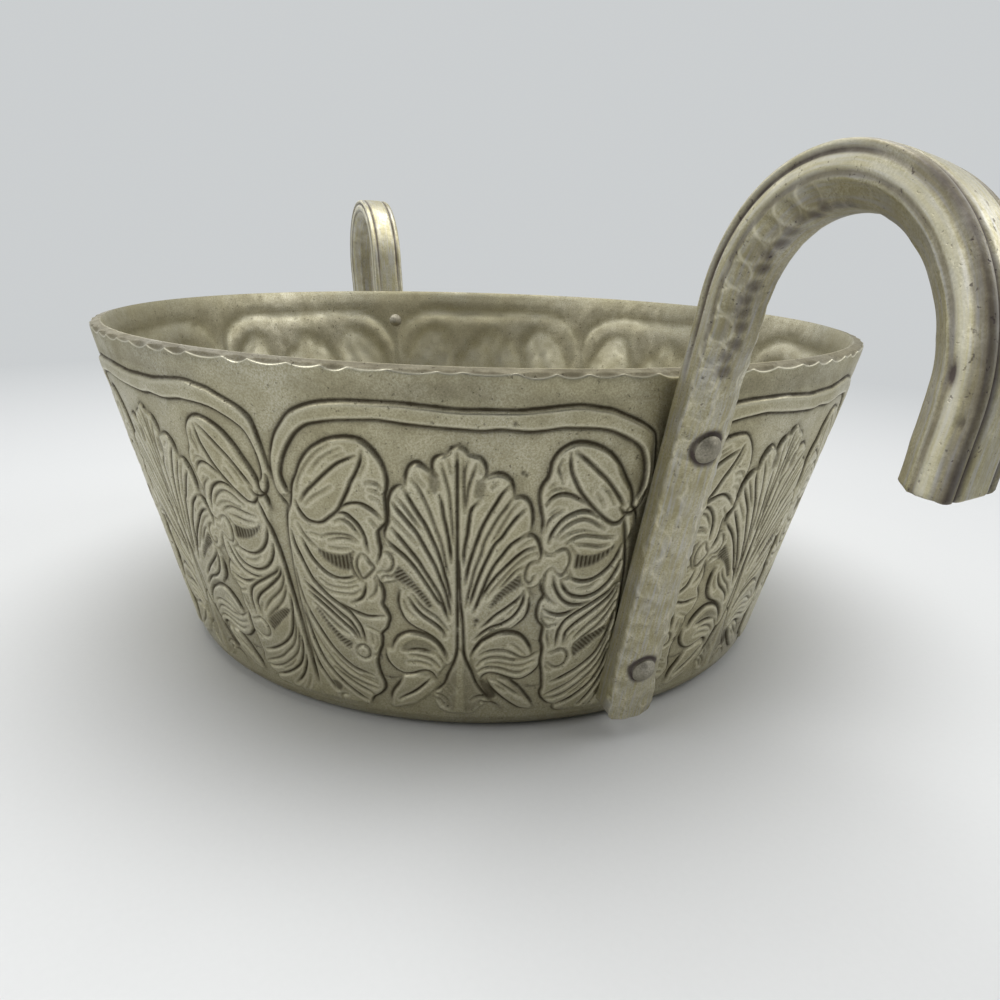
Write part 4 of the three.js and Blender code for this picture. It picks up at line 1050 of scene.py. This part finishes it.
def smooth_normals(points):
    """Normals of a grid that closes on itself round the bowl and round its section."""
    around = np.roll(points, -1, 0) - np.roll(points, 1, 0)
    section = np.roll(points, -1, 1) - np.roll(points, 1, 1)
    section[:, 0] = points[:, 1] - points[:, 0]
    section[:, -1] = points[:, -1] - points[:, -2]
    normals = np.cross(around, section)
    return normals / np.maximum(np.linalg.norm(normals, axis=-1, keepdims=True), 1e-12)


def keep_on(mesh, name, values):
    layer = mesh.attributes.new(name, "FLOAT", "POINT")
    layer.data.foreach_set("value", np.asarray(values, np.float32).ravel())


def linked(name, mesh):
    piece = bpy.data.objects.new(name, mesh)
    bpy.context.scene.collection.objects.link(piece)
    return piece


def tube_mesh(name, points):
    """A closed solid from rows of points. Each row is a closed loop, and the two ends are capped."""
    rows, around = points.shape[:2]
    index = np.arange(rows * around).reshape(rows, around)
    after = np.roll(index, -1, 1)
    quads = np.stack([index[:-1], index[1:], after[1:], after[:-1]], -1).reshape(-1, 4)
    ends = [index[0].tolist(), index[-1][::-1].tolist()]
    mesh = bpy.data.meshes.new(name)
    mesh.from_pydata(points.reshape(-1, 3).tolist(), [], quads.tolist() + ends)
    mesh.shade_smooth()
    return mesh


def wall_mesh(name, points, normals, dark, wear):
    """One panel of the wall as a closed solid, with its grid also laid out flat as a map."""
    wide, tall = points.shape[:2]
    mesh = tube_mesh(name, points)
    mesh.normals_split_custom_set_from_vertices(normals.reshape(-1, 3).tolist())
    keep_on(mesh, "dark", dark)
    keep_on(mesh, "wear", wear)
    flat = mesh.uv_layers.new(name="OFBake")
    u = np.arange(wide - 1)[:, None] / (wide - 1) + np.zeros((1, tall))
    v = np.arange(tall)[None, :] / tall + np.zeros((wide - 1, 1))
    du, dv = 1 / (wide - 1), 1 / tall
    corners = np.stack([np.stack([u, v], -1), np.stack([u + du, v], -1), np.stack([u + du, v + dv], -1),
                        np.stack([u, v + dv], -1)], 2).reshape(-1, 2) * 0.98
    edge = np.array([[0.985 + 0.01 * (i % 2), i / tall] for i in range(tall)])
    flat.uv.foreach_set("vector", np.concatenate([corners, edge, edge]).astype(np.float32).ravel())
    return mesh


points, dark, wear = ring_rows()
normals = smooth_normals(points)
walls = []
for panel in range(PANELS):
    columns = np.arange(panel * PANEL_COLUMNS, (panel + 1) * PANEL_COLUMNS + 1) % COLUMNS
    name = f"bowl_wall_{panel + 1}"
    mesh = wall_mesh(name, points[columns], normals[columns], dark[columns], wear[columns])
    walls.append(linked(name, mesh))


def group_inputs(tree, wanted):
    """Gives a tree its named inputs and a geometry output, and returns the input node's sockets by name."""
    for name, kind, value in wanted:
        socket = tree.interface.new_socket(name=name, in_out="INPUT", socket_type=kind)
        if value is not None:
            socket.default_value = value
    tree.interface.new_socket(name="Geometry", in_out="OUTPUT", socket_type="NodeSocketGeometry")
    nodes = Nodes(tree)
    source = nodes.node("NodeGroupInput").socket.node
    return nodes, {socket.name: Reading(nodes, socket) for socket in source.outputs if socket.name}


def set_inputs(modifier, values):
    """Sets a Geometry Nodes modifier's inputs by their names, through the sockets' identifiers."""
    for socket in modifier.node_group.interface.items_tree:
        if socket.item_type == "SOCKET" and socket.in_out == "INPUT" and socket.name in values:
            modifier[socket.identifier] = values[socket.name]


def made_by(tree, name, values, blank=None):
    """The mesh that a tree makes, from nothing or from a blank mesh."""
    holder = linked(name + "_blank", blank or bpy.data.meshes.new(name + "_blank"))
    modifier = holder.modifiers.new(tree.name, "NODES")
    modifier.node_group = tree
    set_inputs(modifier, values)
    evaluated = holder.evaluated_get(bpy.context.evaluated_depsgraph_get())
    mesh = bpy.data.meshes.new_from_object(evaluated)
    mesh.name = name
    bpy.data.objects.remove(holder)
    return mesh


def ended(nodes, geometry, metal):
    """The last nodes of every tree here."""
    real = nodes.node("GeometryNodeRealizeInstances", {}, {"Geometry": geometry})
    coated = nodes.node("GeometryNodeSetMaterial", {}, {"Geometry": real, "Material": metal})
    nodes.node("NodeGroupOutput", {}, {"Geometry": coated})


def floor_tree():
    """A round plate whose upper face is planished with overlapping hammer blows."""
    tree = bpy.data.node_groups.new("planished_floor", "GeometryNodeTree")
    nodes, given = group_inputs(tree, [
        ("Radius", "NodeSocketFloat", 0.086),
        ("Thickness", "NodeSocketFloat", 0.0032),
        ("Blow Spacing", "NodeSocketFloat", 0.006),
        ("Blow Radius", "NodeSocketFloat", 0.006),
        ("Blow Depth", "NodeSocketFloat", 0.0002),
        ("Seed", "NodeSocketInt", 3),
        ("Metal", "NodeSocketMaterial", None),
    ])
    sizes = {"Vertices": 240, "Side Segments": 1, "Fill Segments": 60,
             "Radius": given["Radius"], "Depth": given["Thickness"]}
    plate = nodes.node("GeometryNodeMeshCylinder", {}, sizes)
    top = Reading(nodes, plate.socket.node.outputs["Top"])
    blows = nodes.node("GeometryNodeDistributePointsOnFaces", {"distribute_method": "POISSON"}, {
        "Mesh": plate, "Selection": top, "Distance Min": given["Blow Spacing"], "Density Max": 90000.0,
        "Seed": given["Seed"]})
    gap = nodes.node("GeometryNodeProximity", {"target_element": "POINTS"}, {0: blows}, "Distance")
    x, y, z = nodes.parts(nodes.node("GeometryNodeInputPosition"))
    from_centre = nodes.node("ShaderNodeMath", {"operation": "SQRT"}, {0: x * x + y * y})
    share = gap / given["Blow Radius"]
    dish = (1 - share * share).at_least(0.0)
    off_the_edge = ((1 - from_centre / given["Radius"]) * 12).at_most(1.0)
    down = -1 * dish * off_the_edge * (z > 0.0) * given["Blow Depth"]
    offset = nodes.vector(z=down + given["Thickness"] * 0.5)
    moved = nodes.node("GeometryNodeSetPosition", {}, {"Geometry": plate, "Offset": offset})
    smooth = nodes.node("GeometryNodeSetShadeSmooth", {}, {"Geometry": moved})
    ended(nodes, smooth, given["Metal"])
    return tree


STREAK_COLOUR = (0.47, 0.47, 0.49, 1.0)


def metal_finish(name, clean, warm, grime, roughness, mottling=0.35, streaked=False):
    """Aged satin aluminium: grey metal with a warm cast in broad clouds, a sandy grain, pits, and dark dirt
    and painted shade wherever the mesh records them. Its worn edges and painted highlights are brighter and
    smoother."""
    material, nodes, shader = new_finish(name)
    clouds = nodes.spread(nodes.noise(0.030, 3.0, 0.6), 0.35, 0.65)
    blotches = nodes.spread(nodes.noise(0.006, 4.0, 0.65), 0.40, 0.62)
    grains = nodes.noise(0.00045, 2.0, 0.7)
    pits = nodes.spread(nodes.noise(0.0011, 2.0, 0.7), 0.64, 0.72)
    dark = nodes.recorded("dark")
    wear = nodes.recorded("wear")
    body = nodes.mixed(clouds * 0.75, clean, warm)
    dulled = [channel * 0.70 for channel in warm[:3]] + [1.0]
    body = nodes.mixed(blotches * mottling, body, dulled)
    body = nodes.mixed(nodes.spread(grains, 0.38, 0.62, 0.0, 0.85), body, dulled)
    if streaked:
        run = nodes.vector(nodes.recorded("around") * 1.3, nodes.recorded("along") * 0.09)
        streaks = nodes.spread(nodes.noise(1.0, 3.0, 0.6, run), 0.42, 0.68)
        body = nodes.mixed(streaks * 0.6, body, STREAK_COLOUR)
    bright = [min(1.0, channel * 1.45) for channel in clean[:3]] + [1.0]
    # Recorded wear and painted highlights brighten the body.
    body = nodes.mixed(wear * 0.8, body, bright)
    # The recorded darkness is dirt and painted shade together.
    dirt = nodes.spread(dark + pits * 0.45 + blotches * dark * 0.25, 0.02, 1.0)
    nodes.feed(shader.inputs["Base Color"], nodes.mixed(dirt, body, grime))
    nodes.feed(shader.inputs["Metallic"], 0.92 - 0.75 * dirt)
    rough = roughness + 0.12 * clouds + 0.10 * blotches + 0.25 * dirt - 0.14 * wear
    nodes.feed(shader.inputs["Roughness"], rough)
    sunk = grains - pits * 1.5
    fine = nodes.node("ShaderNodeBump", {}, {"Strength": 0.6, "Distance": 0.00008, "Height": sunk})
    dents = nodes.noise(0.0045, 1.0, 0.4)
    broad = nodes.node("ShaderNodeBump", {}, {
        "Strength": 0.5, "Distance": 0.00030, "Height": dents, "Normal": fine})
    nodes.feed(shader.inputs["Normal"], broad)
    return material


bowl_metal = metal_finish(
    "chased_aluminium", clean=(0.54, 0.515, 0.405, 1.0), warm=(0.49, 0.445, 0.28, 1.0),
    grime=(0.060, 0.046, 0.020, 1.0), roughness=0.34)
floor_mesh = made_by(floor_tree(), "bowl_floor", {
    "Radius": FLOOR_RADIUS * MM, "Thickness": SHEET * MM, "Blow Spacing": 0.0062, "Blow Radius": 0.0062,
    "Blow Depth": 0.00022, "Seed": 3, "Metal": bowl_metal})
bowl_floor = linked("bowl_floor", floor_mesh)
for piece in walls + [bowl_floor]:
    if not piece.data.materials:
        piece.data.materials.append(bowl_metal)
    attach(piece, "root")
    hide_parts("bowl")


# Handles
# Two bars of aluminium, each one forged flatter where it lies on the wall, drawn round into a hook above
# the lip and cut off free. Their front edges are hammered into scallops. Two grooves with a bead between
# them run along each side of the hook, and two more along its back.

HALF_WIDTH = 12.7 / 2
HOOK_DEPTH = 9.5
STRAP_DEPTH = 7.9
FORGED_RUN = 18.0
SIDE_DEPTH = 5.6
BEVEL_WIDTH = 3.7
BAR_LEAN = math.radians(0.7)
STRAP_BOTTOM = 7.5
STRAP_CORNER = 1.6
HOOK_RADIUS = 24.0
HOOK_RISE = 7.1
HOOK_TURN = math.radians(168.4)
TAIL_LENGTH = 10.8
LEFT_HANDLE_TURN = math.radians(178.2)
HOOKS = {"right": (math.radians(9.4), 6.9), "left": (math.radians(-1.0), 3.4)}
FULL_LEAN = WALL_LEAN + BAR_LEAN
BACK_GAP = 1.1
SEAT_UP = 12 / math.cos(WALL_LEAN) + 1.5
SEAT_HEIGHT = SEAT_UP * math.cos(WALL_LEAN) - BACK_GAP * math.sin(WALL_LEAN)
BAR_CELL = 0.45
SOFT_END = 0.45

# Lines worked along the hook. On its sides a place is out from the bar's back, on the back itself it is
# across from the middle, and round a rivet it is out from the rivet's axis. The bead is only what is
# left standing between the grooves, so it has no depth.
BarLine = namedtuple("BarLine", "place half_width depth")
SIDE_GROOVE = BarLine(2.0, 0.50, 0.60)
EDGE_GROOVE = BarLine(5.3, 0.42, 0.38)
SIDE_BEAD = BarLine(3.8, 0.95, 0.0)
BACK_GROOVE = BarLine(4.15, 0.45, 0.42)
RIVET_RING = BarLine(3.5, 0.75, 0.75)
BACK_CROWN = 0.30

# Runs along the bar, measured past its straight part: where the hook's grooves come in, where the hook
# starts to fall, and where hands have worn it, which is brightened also as a painted highlight on the hook's
# top.
HOOKED = (-26, 2)
FALLING = (35, 62)
HANDLED_AND_HIGHLIT = (8, 28)

# The bevels fade out over this run from the strap's lower end.
FLAT_END_RUN = (4, 13)
FLAT_END = 0.6

# Pits in the right hook's side: place out and along past the straight part, size and darkness.
BAR_PITS = [((4.7, 85.2), (0.6, 1.7), 1.4), ((1.9, 91.0), (0.6, 1.0), 0.7)]
BAR_PIT_DEPTH = 0.5


def up_the_bar(height, out):
    return (height - SEAT_HEIGHT + out * math.sin(FULL_LEAN)) / math.cos(FULL_LEAN)


LINE_OUT = SIDE_DEPTH / 2
HOOK_OUT = HOOK_DEPTH + HOOK_RADIUS
HOOK_UP = up_the_bar(BOWL_HEIGHT + HOOK_RISE, HOOK_OUT)
LINE_RADIUS = HOOK_OUT - LINE_OUT
STRAP_START = up_the_bar(STRAP_BOTTOM, 0)
STRAIGHT_LENGTH = HOOK_UP - STRAP_START
BAR_LENGTH = STRAIGHT_LENGTH + LINE_RADIUS * HOOK_TURN + TAIL_LENGTH
RIVETS = {"upper": up_the_bar(BOWL_HEIGHT - 15, STRAP_DEPTH), "lower": up_the_bar(21.3, STRAP_DEPTH)}


def bar_frame(side):
    """The bar's own frame, in metres: x out from its back, z up the bar."""
    place = Matrix.Rotation(side, 4, "Z") @ Matrix.Translation((FOOT_RADIUS * MM, 0, 0))
    place = place @ Matrix.Rotation(WALL_LEAN, 4, "Y") @ Matrix.Translation((BACK_GAP * MM, 0, SEAT_UP * MM))
    return place @ Matrix.Rotation(BAR_LEAN, 4, "Y") @ Matrix.Scale(MM, 4)


def eased(value, low, high):
    t = np.clip((value - low) / (high - low), 0, 1)
    return t * t * (3 - 2 * t)


def bent(across, out, along, hook):
    """A point of the straight bar at its place on the bent one, in the bar's frame, in millimetres."""
    twist_by, skew = hook
    past = along - STRAIGHT_LENGTH
    angle = np.clip(past / LINE_RADIUS, 0, HOOK_TURN)
    straight = past - angle * LINE_RADIUS
    forged = eased(along, STRAIGHT_LENGTH - FORGED_RUN, STRAIGHT_LENGTH)
    front = STRAP_DEPTH + (HOOK_DEPTH - STRAP_DEPTH) * forged - SIDE_DEPTH
    in_front = np.maximum(out - SIDE_DEPTH, 0) / (HOOK_DEPTH - SIDE_DEPTH)
    depth = np.minimum(out, SIDE_DEPTH) + in_front * front - LINE_OUT
    twist = twist_by * np.sin(np.minimum(angle, math.pi / 2))
    share = angle / HOOK_TURN
    sideways = skew * share * (share + 2 * np.maximum(straight, 0) / (LINE_RADIUS * HOOK_TURN))
    inward = -LINE_RADIUS + depth * np.cos(twist) + across * np.sin(twist)
    x = HOOK_OUT + np.cos(angle) * inward + np.sin(angle) * straight
    y = -sideways + across * np.cos(twist) - depth * np.sin(twist)
    z = HOOK_UP - np.sin(angle) * inward + np.cos(angle) * straight
    return np.stack([x, y, z], -1)


def bar_outline():
    """The bar's section, as across and out from its back, with softened corners."""
    front = HALF_WIDTH - BEVEL_WIDTH
    half = [((HALF_WIDTH, 0), 0.9), ((HALF_WIDTH, SIDE_DEPTH), 1.1), ((front, HOOK_DEPTH), 0.8)]
    corners = [((0, 0), 0)] + half + [((-across, out), soft) for (across, out), soft in half[::-1]]
    outline = []
    for i, (corner, soft) in enumerate(corners):
        corner = np.array(corner, float)
        before = np.array(corners[i - 1][0], float)
        after = np.array(corners[(i + 1) % len(corners)][0], float)
        start = corner + soft * (before - corner) / np.linalg.norm(before - corner)
        end = corner + soft * (after - corner) / np.linalg.norm(after - corner)
        if soft:
            for t in np.linspace(0, 1, 5):
                outline.append((1 - t) ** 2 * start + 2 * t * (1 - t) * corner + t * t * end)
        else:
            outline.append(corner)
        reach = after + corners[(i + 1) % len(corners)][1] * (corner - after) / np.linalg.norm(corner - after)
        count = max(2, int(np.linalg.norm(reach - end) / BAR_CELL))
        for t in np.arange(1, count) / count:
            outline.append(end + t * (reach - end))
    return np.array(outline)


def near_line(value, line):
    """1 on a worked line, falling off over its half width."""
    return bell(value - line.place, line.half_width)


def bar_rows(pitted):
    """The straight bar as rows of points: across, out and along, then the way round the section, the dirt
    and painted shade, and the worn places and painted highlights. The rows run from the strap's lower end to
    the hook's tip."""
    outline = bar_outline()
    rows = int(BAR_LENGTH / BAR_CELL)
    along = np.linspace(0, BAR_LENGTH, rows)[:, None] + np.zeros((1, len(outline)))
    across = np.repeat(outline[None, :, 0], rows, 0)
    out = np.repeat(outline[None, :, 1], rows, 0)
    off_middle = np.abs(across)

    # Grooves and bead on the hook's sides and back. The bevels end before the strap's lower end.
    hooked = eased(along - STRAIGHT_LENGTH, *HOOKED)
    falling = eased(along - STRAIGHT_LENGTH, *FALLING)
    side = eased(off_middle, HALF_WIDTH - 0.5, HALF_WIDTH - 0.1)
    side_groove = side * near_line(out, SIDE_GROOVE) * hooked * (1 - 0.6 * falling)
    edge_groove = side * near_line(out, EDGE_GROOVE) * hooked
    bead = side * near_line(out, SIDE_BEAD) * hooked
    back = eased(0.6 - out, 0.0, 0.5)
    back_groove = back * near_line(off_middle, BACK_GROOVE) * hooked
    crown = back * (off_middle / HALF_WIDTH) ** 3 * hooked
    flat_end = FLAT_END * (1 - eased(along, *FLAT_END_RUN)) * eased(off_middle, 2.6, 3.4)
    flat_end = flat_end * (out > SIDE_DEPTH - 1.5)
    sunk = SIDE_GROOVE.depth * side_groove + EDGE_GROOVE.depth * edge_groove
    new_across = across - np.sign(across) * sunk
    new_out = out + BACK_GROOVE.depth * back_groove + BACK_CROWN * crown + flat_end * (HOOK_DEPTH - out)

    # The strap's lower corners are rounded off.
    corner = np.maximum(off_middle - (HALF_WIDTH - STRAP_CORNER), 0)
    shortfall = STRAP_CORNER - np.sqrt(np.maximum(STRAP_CORNER ** 2 - corner ** 2, 0))
    along = along + shortfall * np.clip(1 - along / 9, 0, 1)
    section = np.vstack([outline[-1:], outline])
    around = np.cumsum(np.hypot(*np.diff(section, axis=0).T))[None, :] + np.zeros_like(along)

    # Setting the rivets has pressed a ring round each head.
    to_rivet = np.full_like(along, 9.0)
    for up in RIVETS.values():
        to_rivet = np.minimum(to_rivet, np.hypot(new_across, along - (up - STRAP_START)))
    ring = eased(new_out, 7.0, 9.0) * near_line(to_rivet, RIVET_RING)
    new_out = new_out - RIVET_RING.depth * ring

    # Dirt sits in the grooves and in the rings. Painted shade darkens the hook's front face, the tail's back
    # edges and the rings round the rivet heads. The beads are worn bright, and the hook's top has a painted
    # highlight with its wear.
    # Painted shade on the hook's front face, which is its shaded underside.
    front = eased(out, 6.3, 7.6) * hooked
    # Each rivet ring's darkness is grime with painted shade round the head.
    dark = 0.95 * side_groove + 0.7 * edge_groove + 0.9 * back_groove + ring + 0.22 * front
    # Painted shade along the falling tail's back edges.
    to_back_edge = np.hypot(HALF_WIDTH - off_middle, out)
    dark = np.maximum(np.clip(dark, 0, 1), 0.75 * falling * bell(to_back_edge, 1.7))
    # Wear from hands, with a painted highlight, brightens the sides of the hook's top.
    handled_and_highlit = eased(along - STRAIGHT_LENGTH, *HANDLED_AND_HIGHLIT) * (1 - falling)
    wear = np.maximum(bead * (0.24 + 0.26 * falling), 0.34 * side * handled_and_highlit)
    for (pit_out, pit_along), (wide, tall), dirt in BAR_PITS if pitted else []:
        gap = ((out - pit_out) / wide) ** 2 + ((along - STRAIGHT_LENGTH - pit_along) / tall) ** 2
        pit = side * (across < 0) * np.exp(-gap)
        new_across = new_across + BAR_PIT_DEPTH * pit
        dark = np.maximum(dark, dirt * pit)
    return new_across, new_out, along, around, dark, wear


def bar_blank(name, hook):
    """The bent bar before its edges are hammered. Two smaller rows at each end soften its cut edges."""
    rows = [np.pad(kept, ((2, 2), (0, 0)), mode="edge") for kept in bar_rows(hook == HOOKS["right"])]
    across, out, along, around, dark, wear = rows
    beyond = np.zeros((len(along), 1))
    beyond[[0, 1, -2, -1], 0] = -1.0, -0.75, 0.75, 1.0
    smaller = np.ones((len(along), 1))
    smaller[[0, 1, -2, -1], 0] = 0.90, 0.96, 0.96, 0.90
    along = SOFT_END + along * (BAR_LENGTH - 2 * SOFT_END) / BAR_LENGTH + SOFT_END * beyond
    out = LINE_OUT + (out - LINE_OUT) * smaller
    mesh = tube_mesh(name, bent(across * smaller, out, along, hook))
    keep_on(mesh, "dark", dark)
    keep_on(mesh, "wear", wear)
    keep_on(mesh, "around", around)
    keep_on(mesh, "along", along)
    return mesh


def edge_lines(name, hook, places, start, end):
    """Lines along the bar at given places of its section, for the hammer blows to follow."""
    vertices, edges = [], []
    along = np.arange(start, end, 1.0)
    for across, out in places:
        first = len(vertices)
        vertices += bent(np.full_like(along, across), np.full_like(along, out), along, hook).tolist()
        edges += [(i, i + 1) for i in range(first, first + len(along) - 1)]
    mesh = bpy.data.meshes.new(name)
    mesh.from_pydata(vertices, edges, [])
    return linked(name, mesh)


def blows_tree():
    """Dents a bar with hammer blows that follow lines along it."""
    tree = bpy.data.node_groups.new("hammer_blows", "GeometryNodeTree")
    nodes, given = group_inputs(tree, [
        ("Bar", "NodeSocketGeometry", None),
        ("Lines", "NodeSocketObject", None),
        ("Blow Spacing", "NodeSocketFloat", 5.0),
        ("Blow Radius", "NodeSocketFloat", 3.0),
        ("Blow Depth", "NodeSocketFloat", 0.4),
        ("Wander", "NodeSocketFloat", 0.6),
        ("Ridge Wear", "NodeSocketFloat", 0.0),
        ("Ridge Breaks", "NodeSocketFloat", 1.0),
        ("Blow Dirt", "NodeSocketFloat", 0.0),
        ("Seed", "NodeSocketInt", 1),
        ("Metal", "NodeSocketMaterial", None),
    ])
    lines = nodes.node("GeometryNodeObjectInfo", {}, {"Object": given["Lines"]}, "Geometry")
    curves = nodes.node("GeometryNodeMeshToCurve", {}, {0: lines})
    steps = {"Curve": curves, "Length": given["Blow Spacing"]}
    spaced = nodes.node("GeometryNodeCurveToPoints", {"mode": "LENGTH"}, steps)
    wander = given["Wander"]
    low = -1 * wander
    limits = {0: nodes.vector(low, low, low), 1: nodes.vector(wander, wander, wander), "Seed": given["Seed"]}
    stray = nodes.node("FunctionNodeRandomValue", {"data_type": "FLOAT_VECTOR"}, limits)
    blows = nodes.node("GeometryNodeSetPosition", {}, {"Geometry": spaced, "Offset": stray})
    gap = nodes.node("GeometryNodeProximity", {"target_element": "POINTS"}, {0: blows}, "Distance")
    share = gap / given["Blow Radius"]
    dish = (1 - share * share).at_least(0.0)
    normal = nodes.node("GeometryNodeInputNormal")
    push = {0: normal, "Scale": -1 * dish * given["Blow Depth"]}
    inward = nodes.node("ShaderNodeVectorMath", {"operation": "SCALE"}, push)
    dented = nodes.node("GeometryNodeSetPosition", {}, {"Geometry": given["Bar"], "Offset": inward})
    place = nodes.node("GeometryNodeInputPosition")
    patches = nodes.node("ShaderNodeTexNoise", {}, {"Vector": place, "Scale": 0.30})
    patchy = nodes.spread(patches, 0.42, 0.60)
    ridge = nodes.spread(abs(share - 0.92), 0.0, 0.16, 1.0, 0.0)
    ridge = ridge * (1 - given["Ridge Breaks"] * (1 - patchy))
    for name, amount in (("wear", ridge * given["Ridge Wear"]), ("dark", dish * given["Blow Dirt"])):
        before = nodes.node("GeometryNodeInputNamedAttribute", {"data_type": "FLOAT"}, {"Name": name})
        stored = {"Geometry": dented, "Name": name, "Value": before.at_least(amount)}
        dented = nodes.node("GeometryNodeStoreNamedAttribute", {}, stored)
    ended(nodes, dented, given["Metal"])
    return tree


handle_metal = metal_finish(
    "hammered_bar_aluminium", clean=(0.56, 0.53, 0.41, 1.0), warm=(0.50, 0.45, 0.26, 1.0),
    grime=(0.085, 0.065, 0.055, 1.0), roughness=0.38, mottling=0.75, streaked=True)
hammer_blows = blows_tree()
TOP_OF_HOOK = STRAIGHT_LENGTH + 1.3 * LINE_RADIUS

# Each row of blows: its places on the section, its start and end along the bar, and the blows' inputs.
BLOWS = {
    "strap_bevels": ([(4.6, 7.5), (-4.6, 7.5)], 2.0, STRAIGHT_LENGTH - 16, {
        "Blow Spacing": 4.4, "Blow Radius": 2.8, "Blow Depth": 0.40, "Wander": 0.95, "Ridge Wear": 0.60,
        "Seed": 5}),
    "hook_bevels": ([(4.7, 7.3), (-4.7, 7.3)], STRAIGHT_LENGTH - 14, TOP_OF_HOOK - 6, {
        "Blow Spacing": 4.9, "Blow Radius": 2.75, "Blow Depth": 0.42, "Wander": 0.35, "Ridge Wear": 0.80,
        "Ridge Breaks": 0.4, "Seed": 12}),
    "soft_edges": ([(4.6, 7.5), (-4.6, 7.5)], TOP_OF_HOOK, BAR_LENGTH - 2, {
        "Blow Spacing": 7.0, "Blow Radius": 4.0, "Blow Depth": 0.14, "Wander": 1.4, "Seed": 6}),
    "stained_blows": ([(-2.3, 9.4)], STRAIGHT_LENGTH - 12, TOP_OF_HOOK + 4, {
        "Blow Spacing": 2.9, "Blow Radius": 2.2, "Blow Depth": 0.10, "Wander": 0.7, "Blow Dirt": 0.75,
        "Seed": 8}),
    "front": ([(1.2, 8.4), (-1.6, 8.4)], 4.0, STRAIGHT_LENGTH - 10, {
        "Blow Spacing": 6.0, "Blow Radius": 3.8, "Blow Depth": 0.18, "Wander": 1.8, "Ridge Wear": 0.30,
        "Seed": 9}),
}
for side_name, side in (("right", 0.0), ("left", LEFT_HANDLE_TURN)):
    hook = HOOKS[side_name]
    name = f"{side_name}_handle_bar"
    mesh = bar_blank(name + "_bent", hook)
    for row, (places, start, end, values) in BLOWS.items():
        guide = edge_lines(f"{name}_{row}_lines", hook, places, start, end)
        mesh = made_by(hammer_blows, f"{name}_{row}", {"Lines": guide, "Metal": handle_metal, **values}, mesh)
        bpy.data.objects.remove(guide)
    mesh.name = name
    mesh.transform(bar_frame(side))
    mesh.update()
    bar = linked(name, mesh)
    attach(bar, "root")
    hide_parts(f"{side_name}_handle")


# Rivets
# Two aluminium rivets hold each handle. Their shanks go through bar and wall, and both ends are set into
# low round heads, one on the bar's front and one inside the bowl.

HEAD_RADIUS = 3.175
HEAD_RISE = 1.7
HEAD_SUNK = 0.12
SHANK_RADIUS = 1.7
SEAT_GAP = 0.1


def rivet_tree():
    """A rivet along X: a shank with the same domed head on both ends."""
    tree = bpy.data.node_groups.new("set_rivet", "GeometryNodeTree")
    nodes, given = group_inputs(tree, [
        ("Head Radius", "NodeSocketFloat", 3.175),
        ("Head Rise", "NodeSocketFloat", 1.5),
        ("Shank Radius", "NodeSocketFloat", 1.7),
        ("Inner Seat", "NodeSocketFloat", -5.0),
        ("Outer Seat", "NodeSocketFloat", 8.0),
        ("Metal", "NodeSocketMaterial", None),
    ])
    ball = nodes.node("GeometryNodeMeshUVSphere", {}, {"Segments": 48, "Rings": 40, "Radius": 1.0})
    place = nodes.node("GeometryNodeInputPosition")
    x, y, z = nodes.parts(place)
    cap = (1 - (x * x + y * y)).at_least(0.0)
    wobble = nodes.node("ShaderNodeTexNoise", {}, {"Vector": place, "Scale": 1.7, "Detail": 1.0})
    rise = given["Head Rise"] * (cap ** 0.85) * (z > 0.0) * (0.86 + 0.26 * wobble) - HEAD_SUNK
    shaped = nodes.vector(x * given["Head Radius"], y * given["Head Radius"], rise)
    head = nodes.node("GeometryNodeSetPosition", {}, {"Geometry": ball, "Position": shaped})
    length = given["Outer Seat"] - given["Inner Seat"]
    shank = nodes.node("GeometryNodeMeshCylinder", {}, {
        "Vertices": 32, "Radius": given["Shank Radius"], "Depth": length})
    middle = (given["Outer Seat"] + given["Inner Seat"]) * 0.5
    quarter = math.pi / 2
    whole = nodes.node("GeometryNodeJoinGeometry")
    outer = (head, given["Outer Seat"], quarter)
    inner = (head, given["Inner Seat"], -quarter)
    for part, at, turn in (outer, inner, (shank, middle, quarter)):
        part = nodes.node("GeometryNodeTransform", {}, {
            "Geometry": part, "Translation": nodes.vector(at), "Rotation": (0.0, turn, 0.0)})
        tree.links.new(part.socket, whole.socket.node.inputs[0])
    smooth = nodes.node("GeometryNodeSetShadeSmooth", {}, {"Geometry": whole})
    ended(nodes, smooth, given["Metal"])
    return tree


def wall_inside(up):
    """Where the wall's inner face lies, out from the bar's back, at a distance up the bar."""
    return -(BACK_GAP + SHEET) / math.cos(BAR_LEAN) - up * math.tan(BAR_LEAN)


rivet_metal = metal_finish(
    "set_rivet_aluminium", clean=(0.43, 0.41, 0.35, 1.0), warm=(0.37, 0.34, 0.26, 1.0),
    grime=(0.07, 0.055, 0.045, 1.0), roughness=0.46, mottling=0.8)
set_rivet = rivet_tree()
for side_name, side in (("right", 0.0), ("left", LEFT_HANDLE_TURN)):
    for place, up in RIVETS.items():
        name = f"{side_name}_{place}_set_rivet"
        mesh = made_by(set_rivet, name, {
            "Head Radius": HEAD_RADIUS, "Head Rise": HEAD_RISE, "Shank Radius": SHANK_RADIUS,
            "Inner Seat": wall_inside(up) - SEAT_GAP, "Outer Seat": STRAP_DEPTH + SEAT_GAP,
            "Metal": rivet_metal})
        mesh.transform(bar_frame(side) @ Matrix.Translation((0, 0, up)))
        rivet = linked(name, mesh)
        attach(rivet, "root")
        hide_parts(f"{side_name}_{place}_rivet")
